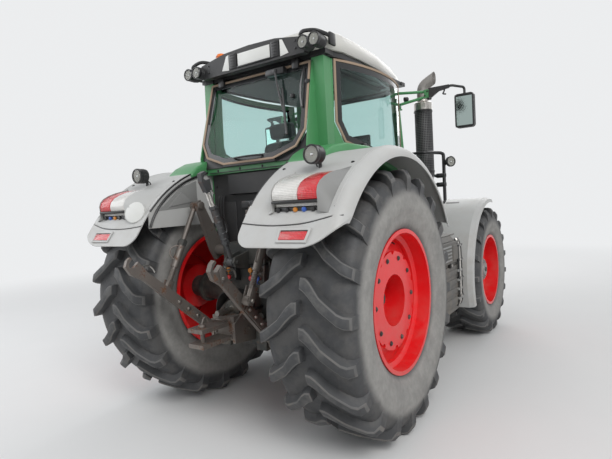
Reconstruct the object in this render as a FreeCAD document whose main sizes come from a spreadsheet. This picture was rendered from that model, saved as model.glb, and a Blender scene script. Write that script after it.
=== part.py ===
import FreeCAD, Part
import math
import os

import Sketcher

# Farm tractor with a closed cab, front and rear wheel drive and a rear three-point linkage.
# Millimetres. +Z is up, forward is -Y, the tractor's right is -X. The origin lies on the ground
# under the middle of the overall length and width. Places along the tractor are counted from
# the rear axle, and a side is +1 on the left and -1 on the right.

os.makedirs("parts", exist_ok=True)
doc = FreeCAD.newDocument("farm_tractor")

# Driving sizes
SIZES = {
    # Stance
    "wheelbase": 3050.0,
    "rear_reach": 1240.0,
    "front_reach": 1290.0,
    "rear_track": 1980.0,
    "front_track": 1940.0,
    "running_gap": 0.3,
    # Rear wheel
    "rear_tip": 1030.0,
    "rear_wide": 716.0,
    "rear_bead": 545.0,
    "rear_lug": 62.0,
    "rear_lug_count": 20,
    "rear_flange": 560.0,
    "rear_flange_half": 310.0,
    "rear_dish": 215.0,
    "rear_disc": 386.0,
    "rear_hub_hole": 203.0,
    "rear_hub_depth": 10.0,
    "rear_notches": 10,
    "rear_notch": 26.0,
    "axle_shaft": 68.0,
    # Front wheel
    "front_tip": 820.0,
    "front_wide": 590.0,
    "front_bead": 442.0,
    "front_lug": 52.0,
    "front_lug_count": 19,
    "front_flange": 457.0,
    "front_flange_half": 257.0,
    "front_dish": 107.0,
    "front_disc": 300.0,
    "front_hub_hole": 150.0,
    "front_hub_depth": 62.0,
    "front_notches": 8,
    "front_notch": 24.0,
    "hub_reach": 190.0,
    "spindle": 48.0,
    # Rim walls
    "rim_wall": 16.0,
    "rim_well": 50.0,
    "rim_lip": 14.0,
    "disc_wall": 24.0,
    "disc_overlap": 60.0,
    # Front axle and steering
    "kingpin_inset": 150.0,
    "kingpin": 30.0,
    "yoke_half": 118.0,
    "yoke_wall": 32.0,
    "yoke_throat": 95.0,
    "beam_half_deep": 75.0,
    "beam_half_tall": 45.0,
    "beam_saddle": 22.0,
    "knuckle_half_wide": 55.0,
    "knuckle_half_deep": 58.0,
    "arm_reach": 190.0,
    "arm_wall": 24.0,
    "arm_drop": 60.0,
    "tie_rod": 15.0,
    "tie_eye": 26.0,
    "ram": 42.0,
    "ram_half_long": 200.0,
    # Backbone
    "case_half_wide": 250.0,
    "case_rear": 330.0,
    "case_front": 1790.0,
    "case_top": 1340.0,
    "case_bottom": 620.0,
    "engine_front": 2750.0,
    "engine_half_low": 160.0,
    "engine_half_high": 215.0,
    "engine_step": 1220.0,
    "engine_top": 1860.0,
    "support_front": 4130.0,
    "support_top": 1010.0,
    "support_bottom": 720.0,
    "nose_plate": 60.0,
    "tow_bore": 20.0,
    "drive_shaft": 34.0,
    # Rear axle housing
    "trumpet_root": 190.0,
    "trumpet_end": 118.0,
    "trumpet_flange": 150.0,
    # Cab
    "cab_floor": 1440.0,
    "cab_pan": 60.0,
    "cab_inner_half": 540.0,
    "cab_front": 1545.0,
    "post_wide": 66.0,
    "post_deep": 78.0,
    "rear_post_wide": 118.0,
    "glass_top": 3032.0,
    "rail_tall": 40.0,
    "rail_gap": 12.0,
    "side_bow": 2120.0,
    "side_bow_reach": 812.0,
    "side_bow_place": 785.0,
    "side_glass_low": 1560.0,
    "glass_wall": 6.0,
    "hinge_pin": 8.0,
    "hinge_sleeve": 15.0,
    "screen_bulge": 170.0,
    "screen_half": 632.0,
    "screen_low": 1600.0,
    "back_glass_lean": 215.0,
    "back_glass_top": 3010.0,
    "back_glass_low": 2212.0,
    "back_glass_half": 575.0,
    "back_beam_low": 2140.0,
    "back_beam_tall": 58.0,
    # Roof
    "roof_tall": 262.0,
    "roof_inset": 380.0,
    "roof_half": 782.0,
    "roof_front": 1885.0,
    "roof_rear": 128.0,
    "roof_panel_half": 585.0,
    "roof_panel_low": 3050.0,
    "roof_panel_tall": 190.0,
    "roof_lamp": 52.0,
    "roof_lamp_up": 3112.0,
    # Rear fenders
    "fender_ring": 1200.0,
    "fender_skin": 9.0,
    "fender_inner": 552.0,
    "fender_outer": 1340.0,
    "fender_front_angle": 153.0,
    "fender_rear_angle": 35.0,
    "fender_apron": 190.0,
    "fender_roll": 90.0,
    "fender_corner": 290.0,
    "fender_inner_corner": 120.0,
    # Front fenders
    "guard_ring": 950.0,
    "guard_skin": 8.0,
    "guard_inner": 700.0,
    "guard_outer": 1250.0,
    "guard_low_angle": -20.0,
    "guard_high_angle": 98.0,
    "guard_tube": 18.0,
    # Hood
    "hood_rear": 1800.0,
    "hood_nose": 4230.0,
    "hood_low": 1550.0,
    "hood_half": 355.0,
    "hood_waist_half": 400.0,
    "hood_waist": 1800.0,
    "hood_crown": 2110.0,
    "hood_nose_crown": 1760.0,
    "hood_skin": 12.0,
    "hood_pin": 12.0,
    "hood_pivot_ahead": 45.0,
    "hood_pivot_up": 2005.0,
    "nose_low": 1060.0,
    "nose_half": 300.0,
    "nose_deep": 300.0,
    "side_grille_low": 1615.0,
    "side_grille_tall": 215.0,
    "side_grille_long": 900.0,
    # Side box and fuel tank
    "box_inner": 300.0,
    "box_outer": 1150.0,
    "box_rear": 1150.0,
    "box_front": 1965.0,
    "box_low": 520.0,
    "box_bevel": 45.0,
    "step_deep": 250.0,
    # Rear linkage
    "link_pivot_back": 400.0,
    "link_pivot_up": 690.0,
    "link_pivot_half": 300.0,
    "link_splay": 150.0,
    "link_long": 1085.0,
    "link_raised": 43.0,
    "link_thick": 36.0,
    "link_deep": 84.0,
    "link_pin": 18.0,
    "claw_gap": 52.0,
    "rock_back": 300.0,
    "rock_rise": 110.0,
    "rock_bar": 45.0,
    "lift_arm_long": 450.0,
    "lift_arm_raised": 65.9,
    "lift_arm_half": 385.0,
    "lift_arm_thick": 34.0,
    "lift_rod_half": 455.0,
    "lift_rod_long": 808.0,
    "lift_rod_lean": -61.5,
    "lift_rod": 22.0,
    "lift_pin": 16.0,
    "top_link_back": 534.0,
    "top_link_drop": 75.0,
    "top_link_long": 742.0,
    "top_link_raised": 69.4,
    "top_link_barrel": 30.0,
    "top_link_pin": 15.9,
    # Hitch and power take-off
    "hitch_half": 118.0,
    "hitch_reach": 985.0,
    "hitch_pin": 20.0,
    "jaw_low": 800.0,
    "jaw_gap": 86.0,
    "jaw_wall": 32.0,
    "stub": 22.2,
    "stub_journal": 30.0,
    "stub_housing": 240.0,
    "stub_up": 985.0,
    "stub_reach": 745.0,
    # Exhaust
    "stack_side": 820.0,
    "stack_place": 1880.0,
    "stack_shield": 100.0,
    "stack_low": 1480.0,
    "stack_high": 2900.0,
    "stack_pipe": 62.0,
    # Mirrors, lamps and rails
    "mirror_side": 1310.0,
    "mirror_place": 1800.0,
    "mirror_up": 2720.0,
    "mirror_tall": 360.0,
    "mirror_wide": 200.0,
    "rail_tube": 15.0,
    "beacon_side": 570.0,
    "beacon_place": 100.0,
    "mirror_arm_drop": 107.0,
    "tail_low": 1850.0,
    "tail_high": 2030.0,
    "tail_inner": 795.0,
    "tail_outer": 1155.0,
    "work_lamp": 64.0,
    "work_lamp_up": 2160.0,
    "headlamp_tall": 92.0,
    "coupler": 21.0,
    # Seat and steering column
    "seat_up": 1990.0,
    "seat_place": 620.0,
    "seat_wide": 520.0,
    "wheel_ring": 200.0,
    "wheel_grip": 14.0,
}

sheet = doc.addObject("Spreadsheet::Sheet", "Size")
for row, (alias, amount) in enumerate(SIZES.items(), start=1):
    sheet.set(f"A{row}", alias.replace("_", " "))
    sheet.set(f"B{row}", str(amount))
    sheet.setAlias(f"B{row}", alias)
doc.recompute()


class Measure:
    """A length or an angle: its value and the sheet formula that gives it."""

    def __init__(self, value, formula):
        self.value = value
        self.formula = formula

    def __add__(self, other):
        return Measure(self.value + number(other), f"({self.formula} + {formula(other)})")

    def __radd__(self, other):
        return Measure(number(other) + self.value, f"({formula(other)} + {self.formula})")

    def __sub__(self, other):
        return Measure(self.value - number(other), f"({self.formula} - {formula(other)})")

    def __rsub__(self, other):
        return Measure(number(other) - self.value, f"({formula(other)} - {self.formula})")

    def __mul__(self, other):
        return Measure(self.value * number(other), f"({self.formula} * {formula(other)})")

    __rmul__ = __mul__

    def __truediv__(self, other):
        return Measure(self.value / number(other), f"({self.formula} / {formula(other)})")

    def __neg__(self):
        return Measure(-self.value, f"(0 - {self.formula})")


def number(amount):
    return amount.value if isinstance(amount, Measure) else float(amount)


def formula(amount):
    return amount.formula if isinstance(amount, Measure) else f"({float(amount):.6f})"


def size(alias):
    return Measure(float(SIZES[alias]), f"Size.{alias}")


def sine(angle):
    return Measure(math.sin(math.radians(number(angle))), f"sin({formula(angle)} * 1 deg)")


def cosine(angle):
    return Measure(math.cos(math.radians(number(angle))), f"cos({formula(angle)} * 1 deg)")


# Places used by several pieces
rear_axle = (size("wheelbase") + size("front_reach") - size("rear_reach")) / 2
front_axle = rear_axle - size("wheelbase")
rear_wheel_half = size("rear_track") / 2
front_wheel_half = size("front_track") / 2
kingpin_half = front_wheel_half - size("kingpin_inset")
SIDES = {"left": 1, "right": -1}
PLANES = {"top": "XY_Plane", "side": "YZ_Plane", "back": "XZ_Plane"}
rock_up = size("case_top") + size("rock_rise")
top_link_up = rock_up - size("top_link_drop")
pieces = {}


def bind(thing, prop, amount):
    """Tie a property to the sheet."""
    thing.setExpression(prop, formula(amount))


def place(thing, x, y, z):
    bind(thing, "Placement.Base.x", x)
    bind(thing, "Placement.Base.y", y)
    bind(thing, "Placement.Base.z", z)


def keep(thing, name):
    """Register an object as a finished piece."""
    thing.Label = name
    pieces[name] = thing
    return thing


# Sketches and the features made from them

def body(name):
    return doc.addObject("PartDesign::Body", name)


def sketch(owner, plane, offset=0.0):
    """A sketch on one of the body's planes: top looks down, side looks along X, back along Y."""
    item = owner.newObject("Sketcher::SketchObject", owner.Name + "_sketch")
    role = PLANES[plane]
    item.AttachmentSupport = (next(f for f in owner.Origin.OriginFeatures if f.Role == role), [""])
    item.MapMode = "FlatFace"
    along = -1 * offset if plane == "back" else offset
    bind(item, "AttachmentOffset.Base.z", along)
    return item


def outline(item, corners):
    """A closed run of straight lines with every corner tied to the sheet."""
    first = item.GeometryCount
    spots = [FreeCAD.Vector(number(u), number(v), 0) for u, v in corners]
    count = len(spots)
    for k in range(count):
        item.addGeometry(Part.LineSegment(spots[k], spots[(k + 1) % count]), False)
    for k in range(count):
        item.addConstraint(Sketcher.Constraint("Coincident", first + k, 2, first + (k + 1) % count, 1))
    for k, (u, v) in enumerate(corners):
        for kind, amount in (("DistanceX", u), ("DistanceY", v)):
            rule = item.addConstraint(Sketcher.Constraint(kind, -1, 1, first + k, 1, number(amount)))
            item.setExpression(f"Constraints[{rule}]", formula(amount))


def circle(item, u, v, radius):
    first = item.GeometryCount
    centre = FreeCAD.Vector(number(u), number(v), 0)
    item.addGeometry(Part.Circle(centre, FreeCAD.Vector(0, 0, 1), number(radius)), False)
    for kind, amount in (("DistanceX", u), ("DistanceY", v)):
        rule = item.addConstraint(Sketcher.Constraint(kind, -1, 1, first, 3, number(amount)))
        item.setExpression(f"Constraints[{rule}]", formula(amount))
    rule = item.addConstraint(Sketcher.Constraint("Radius", first, number(radius)))
    item.setExpression(f"Constraints[{rule}]", formula(radius))


def pad(owner, item, length, turned=False):
    feature = owner.newObject("PartDesign::Pad", owner.Name + "_pad")
    feature.Profile = item
    feature.Reversed = turned
    bind(feature, "Length", length)
    return feature


def pocket(owner, item, length, turned=False):
    feature = owner.newObject("PartDesign::Pocket", owner.Name + "_pocket")
    feature.Profile = item
    feature.Reversed = turned
    bind(feature, "Length", length)
    return feature


def revolve(owner, item, axis="H_Axis"):
    feature = owner.newObject("PartDesign::Revolution", owner.Name + "_turn")
    feature.Profile = item
    feature.ReferenceAxis = (item, [axis])
    feature.Angle = 360
    return feature


def polar(owner, feature, item, count, axis="H_Axis"):
    pattern = owner.newObject("PartDesign::PolarPattern", owner.Name + "_round")
    pattern.Originals = [feature]
    pattern.Axis = (item, [axis])
    pattern.Angle = 360
    bind(pattern, "Occurrences", count)
    owner.Tip = pattern
    return pattern


def slab(name, plane, start, length, corners, holes=()):
    """A plate with the given outline, from its start along the plane's own direction.

    A side plate runs from start towards +X, a top plate towards +Z, a back plate towards -Y.
    """
    owner = body(name)
    item = sketch(owner, plane, start)
    outline(item, corners)
    for u, v, radius in holes:
        circle(item, u, v, radius)
    pad(owner, item, length)
    return owner


def lofted(name, plane, stations):
    """A solid through outlines that stand one behind another on the same plane."""
    owner = body(name)
    items = []
    for offset, corners in stations:
        item = sketch(owner, plane, offset)
        outline(item, corners)
        items.append(item)
    feature = owner.newObject("PartDesign::AdditiveLoft", name + "_loft")
    feature.Profile = items[0]
    feature.Sections = items[1:]
    feature.Ruled = True
    return owner


# Primitives and their joins

TURNS = {
    "x": FreeCAD.Rotation(FreeCAD.Vector(0, 1, 0), 90),
    "y": FreeCAD.Rotation(FreeCAD.Vector(1, 0, 0), -90),
    "z": FreeCAD.Rotation(),
}


def block(name, x, y, z, wide, deep, tall):
    """A box between x..x+wide, y..y+deep and z..z+tall."""
    item = doc.addObject("Part::Box", name)
    bind(item, "Length", wide)
    bind(item, "Width", deep)
    bind(item, "Height", tall)
    place(item, x, y, z)
    return item


def rod(name, axis, x, y, z, radius, length):
    """A round bar that starts at a point and runs along one axis."""
    item = doc.addObject("Part::Cylinder", name)
    bind(item, "Radius", radius)
    bind(item, "Height", length)
    item.Placement = FreeCAD.Placement(FreeCAD.Vector(), TURNS[axis])
    place(item, x, y, z)
    return item


def fuse(name, items):
    item = doc.addObject("Part::MultiFuse", name)
    item.Shapes = items
    item.Refine = True
    return item


def cut(name, base, tool):
    item = doc.addObject("Part::Cut", name)
    item.Base = base
    item.Tool = tool
    return item


# Shapes made directly, with sizes read from the sheet

def vector(x, y, z):
    return FreeCAD.Vector(number(x), number(y), number(z))


def feature(name, shape):
    item = doc.addObject("Part::Feature", name)
    item.Shape = shape
    return item


def bent_path(spots, bend):
    """Straight runs joined by tangent arcs of one radius."""
    edges = []
    start = spots[0]
    for before, corner, after in zip(spots, spots[1:], spots[2:]):
        back = (before - corner).normalize()
        ahead = (after - corner).normalize()
        half = back.getAngle(ahead) / 2
        setback = bend / math.tan(half)
        enter = corner + back * setback
        leave = corner + ahead * setback
        middle = corner + (back + ahead).normalize() * (bend / math.sin(half) - bend)
        edges.append(Part.LineSegment(start, enter).toShape())
        edges.append(Part.Arc(enter, middle, leave).toShape())
        start = leave
    edges.append(Part.LineSegment(start, spots[-1]).toShape())
    return Part.Wire(edges)


def tube(spots, radius, bend=60.0):
    """A round bar along a bent path."""
    path = bent_path(spots, bend)
    ring = Part.Circle(spots[0], spots[1] - spots[0], number(radius)).toShape()
    return path.makePipeShell([Part.Wire([ring])], True, False)


def bar(start, end, wide, deep):
    """A straight prism with its section level: wide along X, deep along Y."""
    half_wide = number(wide) / 2
    half_deep = number(deep) / 2
    turns = ((-1, -1), (1, -1), (1, 1), (-1, 1), (-1, -1))
    corners = [start + FreeCAD.Vector(u * half_wide, v * half_deep, 0) for u, v in turns]
    return Part.Face(Part.makePolygon(corners)).extrude(end - start)


def turned(corners, centre, angle=360.0, axis=FreeCAD.Vector(1, 0, 0)):
    """A closed outline turned about an axis."""
    face = Part.Face(Part.makePolygon(corners + corners[:1]))
    return face.revolve(centre, axis, angle)


# Tyres: a turned carcass with two rings of slanting lugs, staggered by half a pitch

def carcass_corners(tip, wide, bead, lug, seat, flange):
    """Half the section from the bead to the crown, as (distance from the middle, radius)."""
    crown = tip - lug
    half = wide / 2
    rise = crown - bead
    return [
        (seat, bead),
        (seat, flange),
        (half * 0.95, bead + rise * 0.22),
        (half, bead + rise * 0.50),
        (half * 0.975, bead + rise * 0.78),
        (half * 0.86, crown - rise * 0.05),
        (half * 0.45, crown),
    ]


def carcass(name, tip, wide, bead, lug, seat, flange):
    owner = body(name)
    item = sketch(owner, "back")
    half = carcass_corners(tip, wide, bead, lug, seat, flange)
    outline(item, half + [(-1 * u, r) for u, r in reversed(half)])
    revolve(owner, item)
    return owner


LUG_STATIONS = [
    # share of the half width, leading edge, trailing edge and drop of the top, in lug heights
    (0.02, -2.80, -1.60, 0.00),
    (0.17, -2.87, -1.00, 0.00),
    (0.45, -0.89, 0.52, 0.00),
    (0.82, 0.61, 2.02, 0.14),
    (0.97, 0.84, 2.26, 0.62),
]


def lug_shape(tip, wide, bead, lug):
    """One lug at the top of the wheel, on its +X side: flat sides, square nose leading forwards."""
    tip, wide, bead, lug = (number(amount) for amount in (tip, wide, bead, lug))
    half = wide / 2
    low = bead + (tip - lug - bead) * 0.72
    runs = []
    for edge in (1, 2):
        run = []
        for station in LUG_STATIONS:
            u, v = station[0] * half, station[edge] * lug
            radius = tip - station[3] * lug
            run.append((FreeCAD.Vector(u, v, low), FreeCAD.Vector(u, v, math.sqrt(radius ** 2 - v ** 2))))
        runs.append(run)
    lead, trail = runs
    faces = [[spot[0] for spot in lead] + [spot[0] for spot in reversed(trail)]]
    for k in range(len(lead) - 1):
        faces.append([lead[k][1], lead[k + 1][1], trail[k + 1][1]])
        faces.append([lead[k][1], trail[k + 1][1], trail[k][1]])
    for run in runs:
        for here, there in zip(run, run[1:]):
            faces.append([here[0], there[0], there[1], here[1]])
    for k in (0, -1):
        faces.append([lead[k][0], lead[k][1], trail[k][1], trail[k][0]])
    shell = Part.makeShell([Part.Face(Part.makePolygon(spots + spots[:1])) for spots in faces])
    return Part.makeSolid(shell)


def lug_rings(tip, wide, bead, lug, count):
    one = lug_shape(tip, wide, bead, lug)
    other = one.mirror(FreeCAD.Vector(), FreeCAD.Vector(1, 0, 0))
    pitch = 360.0 / number(count)
    lugs = []
    for k in range(int(number(count))):
        for item, start in ((one, 0.0), (other, 0.5)):
            copy = item.copy()
            copy.rotate(FreeCAD.Vector(), FreeCAD.Vector(1, 0, 0), (k + start) * pitch)
            lugs.append(copy)
    return lugs


def tyre_shape(end):
    sizes = [size(end + part) for part in ("_tip", "_wide", "_bead", "_lug")]
    seat = size(end + "_flange_half") - size("rim_lip")
    base = carcass(end + "_carcass", *sizes, seat, size(end + "_flange"))
    doc.recompute()
    shape = base.Shape.fuse(lug_rings(*sizes, size(end + "_lug_count")))
    return shape.Solids[0]


# Rims: barrel, web, disc and hub plate turned in one, with notches round the disc

def rim(name, end, side, bore):
    flange, half = size(end + "_flange"), size(end + "_flange_half")
    bead, dish = size(end + "_bead"), size(end + "_dish")
    disc, hole = size(end + "_disc"), size(end + "_hub_hole")
    depth = size(end + "_hub_depth")
    wall, well, lip = size("rim_wall"), size("rim_well"), size("rim_lip")
    thick, lap = size("disc_wall"), size("disc_overlap")
    section = [
        (half, flange),
        (half - lip, flange),
        (half - lip, bead),
        (lip - half, bead),
        (lip - half, flange),
        (-half, flange),
        (-half, bead - wall),
        (110 - half, bead - wall),
        (130 - half, bead - well),
        (dish - 95, bead - well),
        (dish - 2 * thick, disc - lap),
        (dish - thick, disc - lap),
    ]
    if end == "rear":
        section += [
            (dish - thick, hole + wall),
            (depth, hole + wall),
            (depth, bore),
            (depth + thick, bore),
            (depth + thick, hole),
            (dish, hole),
        ]
    else:
        section += [(dish - thick, hole), (dish, hole)]
    section += [
        (dish, disc),
        (dish - thick, disc),
        (dish - 71, bead - well),
        (half - 130, bead - well) if end == "rear" else (dish - 40, bead - well),
        (half - 110, bead - wall) if end == "rear" else (dish - 20, bead - wall),
        (half, bead - wall),
    ]
    owner = body(name)
    item = sketch(owner, "back")
    outline(item, [(side * u, r) for u, r in section])
    revolve(owner, item)
    notch = sketch(owner, "side", side * dish)
    circle(notch, 0.0, disc, size(end + "_notch"))
    groove = pocket(owner, notch, thick, turned=(side < 0))
    polar(owner, groove, item, size(end + "_notches"))
    return owner


def wheels():
    for end, half, axle in (("rear", rear_wheel_half, rear_axle), ("front", front_wheel_half, front_axle)):
        shape = tyre_shape(end)
        for word, side in SIDES.items():
            tyre = keep(feature(f"{end}_tyre_{word}", shape), f"{end}_tyre_{word}")
            place(tyre, side * half, axle, size(end + "_tip"))
            bore = size("axle_shaft") + size("running_gap")
            wheel = keep(rim(f"{end}_rim_{word}", end, side, bore), f"{end}_rim_{word}")
            place(wheel, side * half, axle, size(end + "_tip"))


def front_hubs():
    """Planetary hubs that fill the discs' holes and turn on the spindles."""
    hole, reach = size("front_hub_hole"), size("hub_reach")
    bore = size("spindle") + size("running_gap")
    back = -1 * size("front_hub_depth")
    dish = size("front_dish")
    section = [
        (back, bore),
        (reach - 110, bore),
        (reach - 110, 0.0),
        (reach, 0.0),
        (reach, hole * 0.55),
        (reach - 18, hole * 0.62),
        (reach - 18, hole * 0.86),
        (reach - 40, hole),
        (dish - size("disc_wall"), hole),
        (dish - size("disc_wall"), hole + 40),
        (dish - size("disc_wall") - 22, hole + 40),
        (back, hole * 0.8),
    ]
    for word, side in SIDES.items():
        owner = body(f"front_hub_{word}")
        item = sketch(owner, "back")
        outline(item, [(side * u, r) for u, r in section])
        revolve(owner, item)
        place(owner, side * front_wheel_half, front_axle, size("front_tip"))
        keep(owner, f"front_hub_{word}")


# Backbone: transmission, axle housings, engine, front support

def hood_pivot():
    return rear_axle - size("hood_rear") - size("hood_pivot_ahead"), size("hood_pivot_up")


def backbone():
    wide = size("case_half_wide")
    rear, front = rear_axle + size("case_rear"), rear_axle - size("case_front")
    top, low = size("case_top"), size("case_bottom")
    case = slab("case_middle", "side", -wide, wide * 2, [
        (rear, low + 150),
        (rear, top - 60),
        (rear - 120, top),
        (rear_axle - 620, top),
        (rear_axle - 760, top - 70),
        (front, top - 70),
        (front, low + 20),
        (front + 300, low),
        (rear_axle - 300, low),
    ])
    engine = rear_axle - size("engine_front")
    half_low, half_high = size("engine_half_low"), size("engine_half_high")
    step, crest = size("engine_step"), size("engine_top")
    motor = slab("engine_body", "back", front, front - engine, [
        (half_low, low + 90),
        (half_low, step),
        (half_high, step + 60),
        (half_high, crest - 130),
        (half_high - 90, crest),
        (90 - half_high, crest),
        (-half_high, crest - 130),
        (-half_high, step + 60),
        (-half_low, step),
        (-half_low, low + 90),
    ])
    pivot_y, pivot_z = hood_pivot()
    stand = block("hood_stand", -110, pivot_y - 30, crest - 20, 220, 60, pivot_z - crest + 30)
    pin = rod("hood_pin", "x", -150, pivot_y, pivot_z, size("hood_pin"), 300)
    keep(fuse("engine_whole", [motor, stand, pin]), "engine_block")
    nose = rear_axle - size("support_front")
    base, deck = size("support_bottom"), size("support_top")
    clear = size("beam_half_deep") + 25
    arch = size("front_tip") + size("beam_half_tall") + size("beam_saddle") + size("running_gap")
    ram_room = size("arm_reach") + size("ram") + 20
    support = slab("support_beam", "side", -half_low, half_low * 2, [
        (engine, base),
        (engine, deck + 120),
        (engine - 160, deck),
        (nose, deck),
        (nose, base + 60),
        (nose + 300, base),
        (front_axle - clear, base),
        (front_axle - clear, arch),
        (front_axle + ram_room, arch),
        (front_axle + ram_room, base),
    ])
    keep(nose_bracket(support), "front_support")
    trumpets = []
    for word, side in SIDES.items():
        owner = body(f"rear_axle_{word}")
        item = sketch(owner, "back")
        root, end = size("trumpet_root"), size("trumpet_end")
        stop = rear_wheel_half + size("rear_hub_depth") - 4
        tip = rear_wheel_half + size("rear_hub_depth") + 90
        corners = [
            (wide - 30, 0.0),
            (wide - 30, root),
            (wide + 60, root),
            (wide + 130, end + 30),
            (stop - 170, end),
            (stop - 170, size("trumpet_flange")),
            (stop - 140, size("trumpet_flange")),
            (stop - 140, end),
            (stop, end - 10),
            (stop, size("axle_shaft")),
            (tip, size("axle_shaft")),
            (tip, 0.0),
        ]
        outline(item, [(side * u, r) for u, r in corners])
        revolve(owner, item)
        place(owner, 0.0, rear_axle, size("rear_tip"))
        trumpets.append(owner)
    keep(fuse("case_whole", [case] + trumpets), "transmission_case")


def nose_bracket(support):
    """The support with its front tow bracket: a thick plate, a jaw and its pin bore."""
    nose = rear_axle - size("support_front")
    deep = size("wheelbase") + size("front_reach") - size("support_front")
    base, deck = size("support_bottom"), size("support_top")
    plate = block("bracket_plate", -260, nose - size("nose_plate"), base, 520, size("nose_plate"), deck - base)
    jaw_deep = deep - size("nose_plate")
    jaws = []
    for name, up in (("bracket_upper", 150), ("bracket_lower", 50)):
        jaws.append(block(name, -70, nose - deep, base + up, 140, jaw_deep, 30))
    whole = fuse("bracket_whole", [support, plate] + jaws)
    spot = nose - deep + 70
    hole = rod("bracket_hole", "z", 0, spot, base, size("tow_bore"), deck - base)
    return cut("bracket_bored", whole, hole)


def drive_shaft():
    radius = size("drive_shaft")
    start = front_axle + size("arm_reach") + size("ram") + 20
    length = rear_axle - size("case_front") - start
    keep(rod("front_drive_shaft", "y", 0, start, size("support_bottom") - radius - 32, radius, length),
         "front_drive_shaft")


# Front axle, knuckles and steering

def axle_beam():
    up = size("front_tip")
    tall, yoke = size("beam_half_tall"), size("yoke_half")
    ear, pin = size("yoke_wall"), kingpin_half
    throat = pin - size("yoke_throat")
    half = [
        (150.0, up + tall + size("beam_saddle")),
        (300.0, up + tall),
        (throat - 130, up + tall),
        (throat - 40, up + yoke + ear),
        (pin + 48, up + yoke + ear),
        (pin + 48, up + yoke),
        (throat, up + yoke),
        (throat, up - yoke),
        (pin + 48, up - yoke),
        (pin + 48, up - yoke - ear),
        (throat - 40, up - yoke - ear),
        (throat - 130, up - tall),
        (300.0, up - tall),
        (150.0, up - tall - size("beam_saddle")),
    ]
    deep = size("beam_half_deep")
    corners = half + [(-1 * u, v) for u, v in reversed(half)]
    owner = slab("front_axle_beam", "back", front_axle + deep, deep * 2, corners)
    item = sketch(owner, "top", 0.0)
    for side in SIDES.values():
        circle(item, side * pin, front_axle, size("kingpin") + size("running_gap"))
    pocket(owner, item, up * 2, turned=True)
    return owner


def knuckles():
    up, pin = size("front_tip"), kingpin_half
    yoke, ear = size("yoke_half"), size("yoke_wall")
    gap = size("running_gap")
    half_wide, half_deep = size("knuckle_half_wide"), size("knuckle_half_deep")
    reach, arm = size("arm_reach"), size("arm_wall")
    ring = size("guard_ring") - size("guard_skin")
    radius = size("guard_tube")
    for word, side in SIDES.items():
        name = f"knuckle_{word}"
        place_x = side * pin
        top = up + yoke + ear
        start = place_x - half_wide
        core = block(name + "_core", start, front_axle - half_deep, up - yoke + 2 * gap,
                     half_wide * 2, half_deep * 2, yoke * 2 - 4 * gap)
        post = rod(name + "_post", "z", place_x, front_axle, up - yoke - ear - 20, size("kingpin"),
                   2 * yoke + 2 * ear + 60)
        face = front_wheel_half - size("front_hub_depth") - gap * 2
        inner = pin + half_wide - 12
        flange_x = side * inner if side > 0 else side * face
        flange = rod(name + "_flange", "x", flange_x, front_axle, up, 105, face - inner)
        tip = front_wheel_half + size("hub_reach") - 130
        spindle_x = side * inner if side > 0 else side * tip
        spindle = rod(name + "_spindle", "x", spindle_x, front_axle, up, size("spindle"), tip - inner)
        lever_x = place_x - 20 if side > 0 else place_x - 30
        lever = block(name + "_lever", lever_x, front_axle, up - size("arm_drop"), 50, reach + 26, arm)
        cap = block(name + "_cap", side * (pin - 70) - 100, front_axle - 45, top + 12, 200, 90, 20)
        strut_x = side * (size("guard_inner") - 46) - 9
        strut_top = up + ring - 10
        strut = block(name + "_strut", strut_x, front_axle - 40, top + 12, 18, 80, strut_top - top - 12)
        head_x = side * (size("guard_inner") - 46 + 210) - 210
        head = block(name + "_head", head_x, front_axle - 40, strut_top - 16, 420, 80, 16)
        low = 25.0
        seat = ring - radius - gap
        run = seat * cosine(low)
        rise = up + seat * sine(low)
        inner_x = side * (size("guard_inner") - 46)
        outer_x = side * (size("guard_inner") + 380)
        path = tube([
            vector(inner_x, front_axle, rise - 60),
            vector(inner_x, front_axle + run, rise),
            vector(outer_x, front_axle + run, rise),
        ], radius)
        stay = feature(name + "_stay", path)
        keep(fuse(name, [core, post, flange, spindle, lever, cap, strut, head, stay]), name)


def front_guards():
    """Front fenders: curved shells with a folded outer edge."""
    ring, skin = number(size("guard_ring")), number(size("guard_skin"))
    inner, outer = number(size("guard_inner")), number(size("guard_outer"))
    low, high = number(size("guard_low_angle")), number(size("guard_high_angle"))
    for word, side in SIDES.items():
        section = [
            (inner, ring),
            (outer - 70, ring),
            (outer - 12, ring - 22),
            (outer, ring - 62),
            (outer - skin, ring - 62),
            (outer - 12 - skin, ring - 22 - skin),
            (outer - 70 - skin, ring - skin),
            (inner, ring - skin),
        ]
        corners = [FreeCAD.Vector(side * u, r, 0) for u, r in section]
        shell = turned(corners, FreeCAD.Vector(), high - low)
        shell.rotate(FreeCAD.Vector(), FreeCAD.Vector(1, 0, 0), low)
        item = feature(f"front_fender_{word}", shell)
        place(item, 0.0, front_axle, size("front_tip"))
        keep(item, f"front_fender_{word}")


def steering(beam):
    """The steering ram behind the axle beam, and the rod that slides in it."""
    up, long = size("front_tip"), size("ram_half_long")
    back = front_axle + size("arm_reach")
    level = up - size("arm_drop") - size("tie_eye") - 10
    radius, gap = size("tie_rod"), size("running_gap")
    pin = kingpin_half
    ram = rod("ram_barrel", "x", -long, back, level, size("ram"), long * 2)
    start = front_axle + size("beam_half_deep")
    foot = block("ram_foot", -90, start, level - 20, 180, back - start, 60)
    whole = fuse("ram_whole", [beam, ram, foot])
    bore = rod("ram_bore", "x", -long - 1, back, level, radius + gap, long * 2 + 2)
    keep(cut("ram_bored", whole, bore), "front_axle_beam")
    bars = [rod("tie_bar", "x", -pin, back, level, radius, pin * 2)]
    for word, side in SIDES.items():
        bars.append(rod(f"tie_eye_{word}", "z", side * (pin + 5), back, level - 18, size("tie_eye"), 40))
    keep(fuse("tie_rod", bars), "tie_rod")


# Cab

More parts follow.
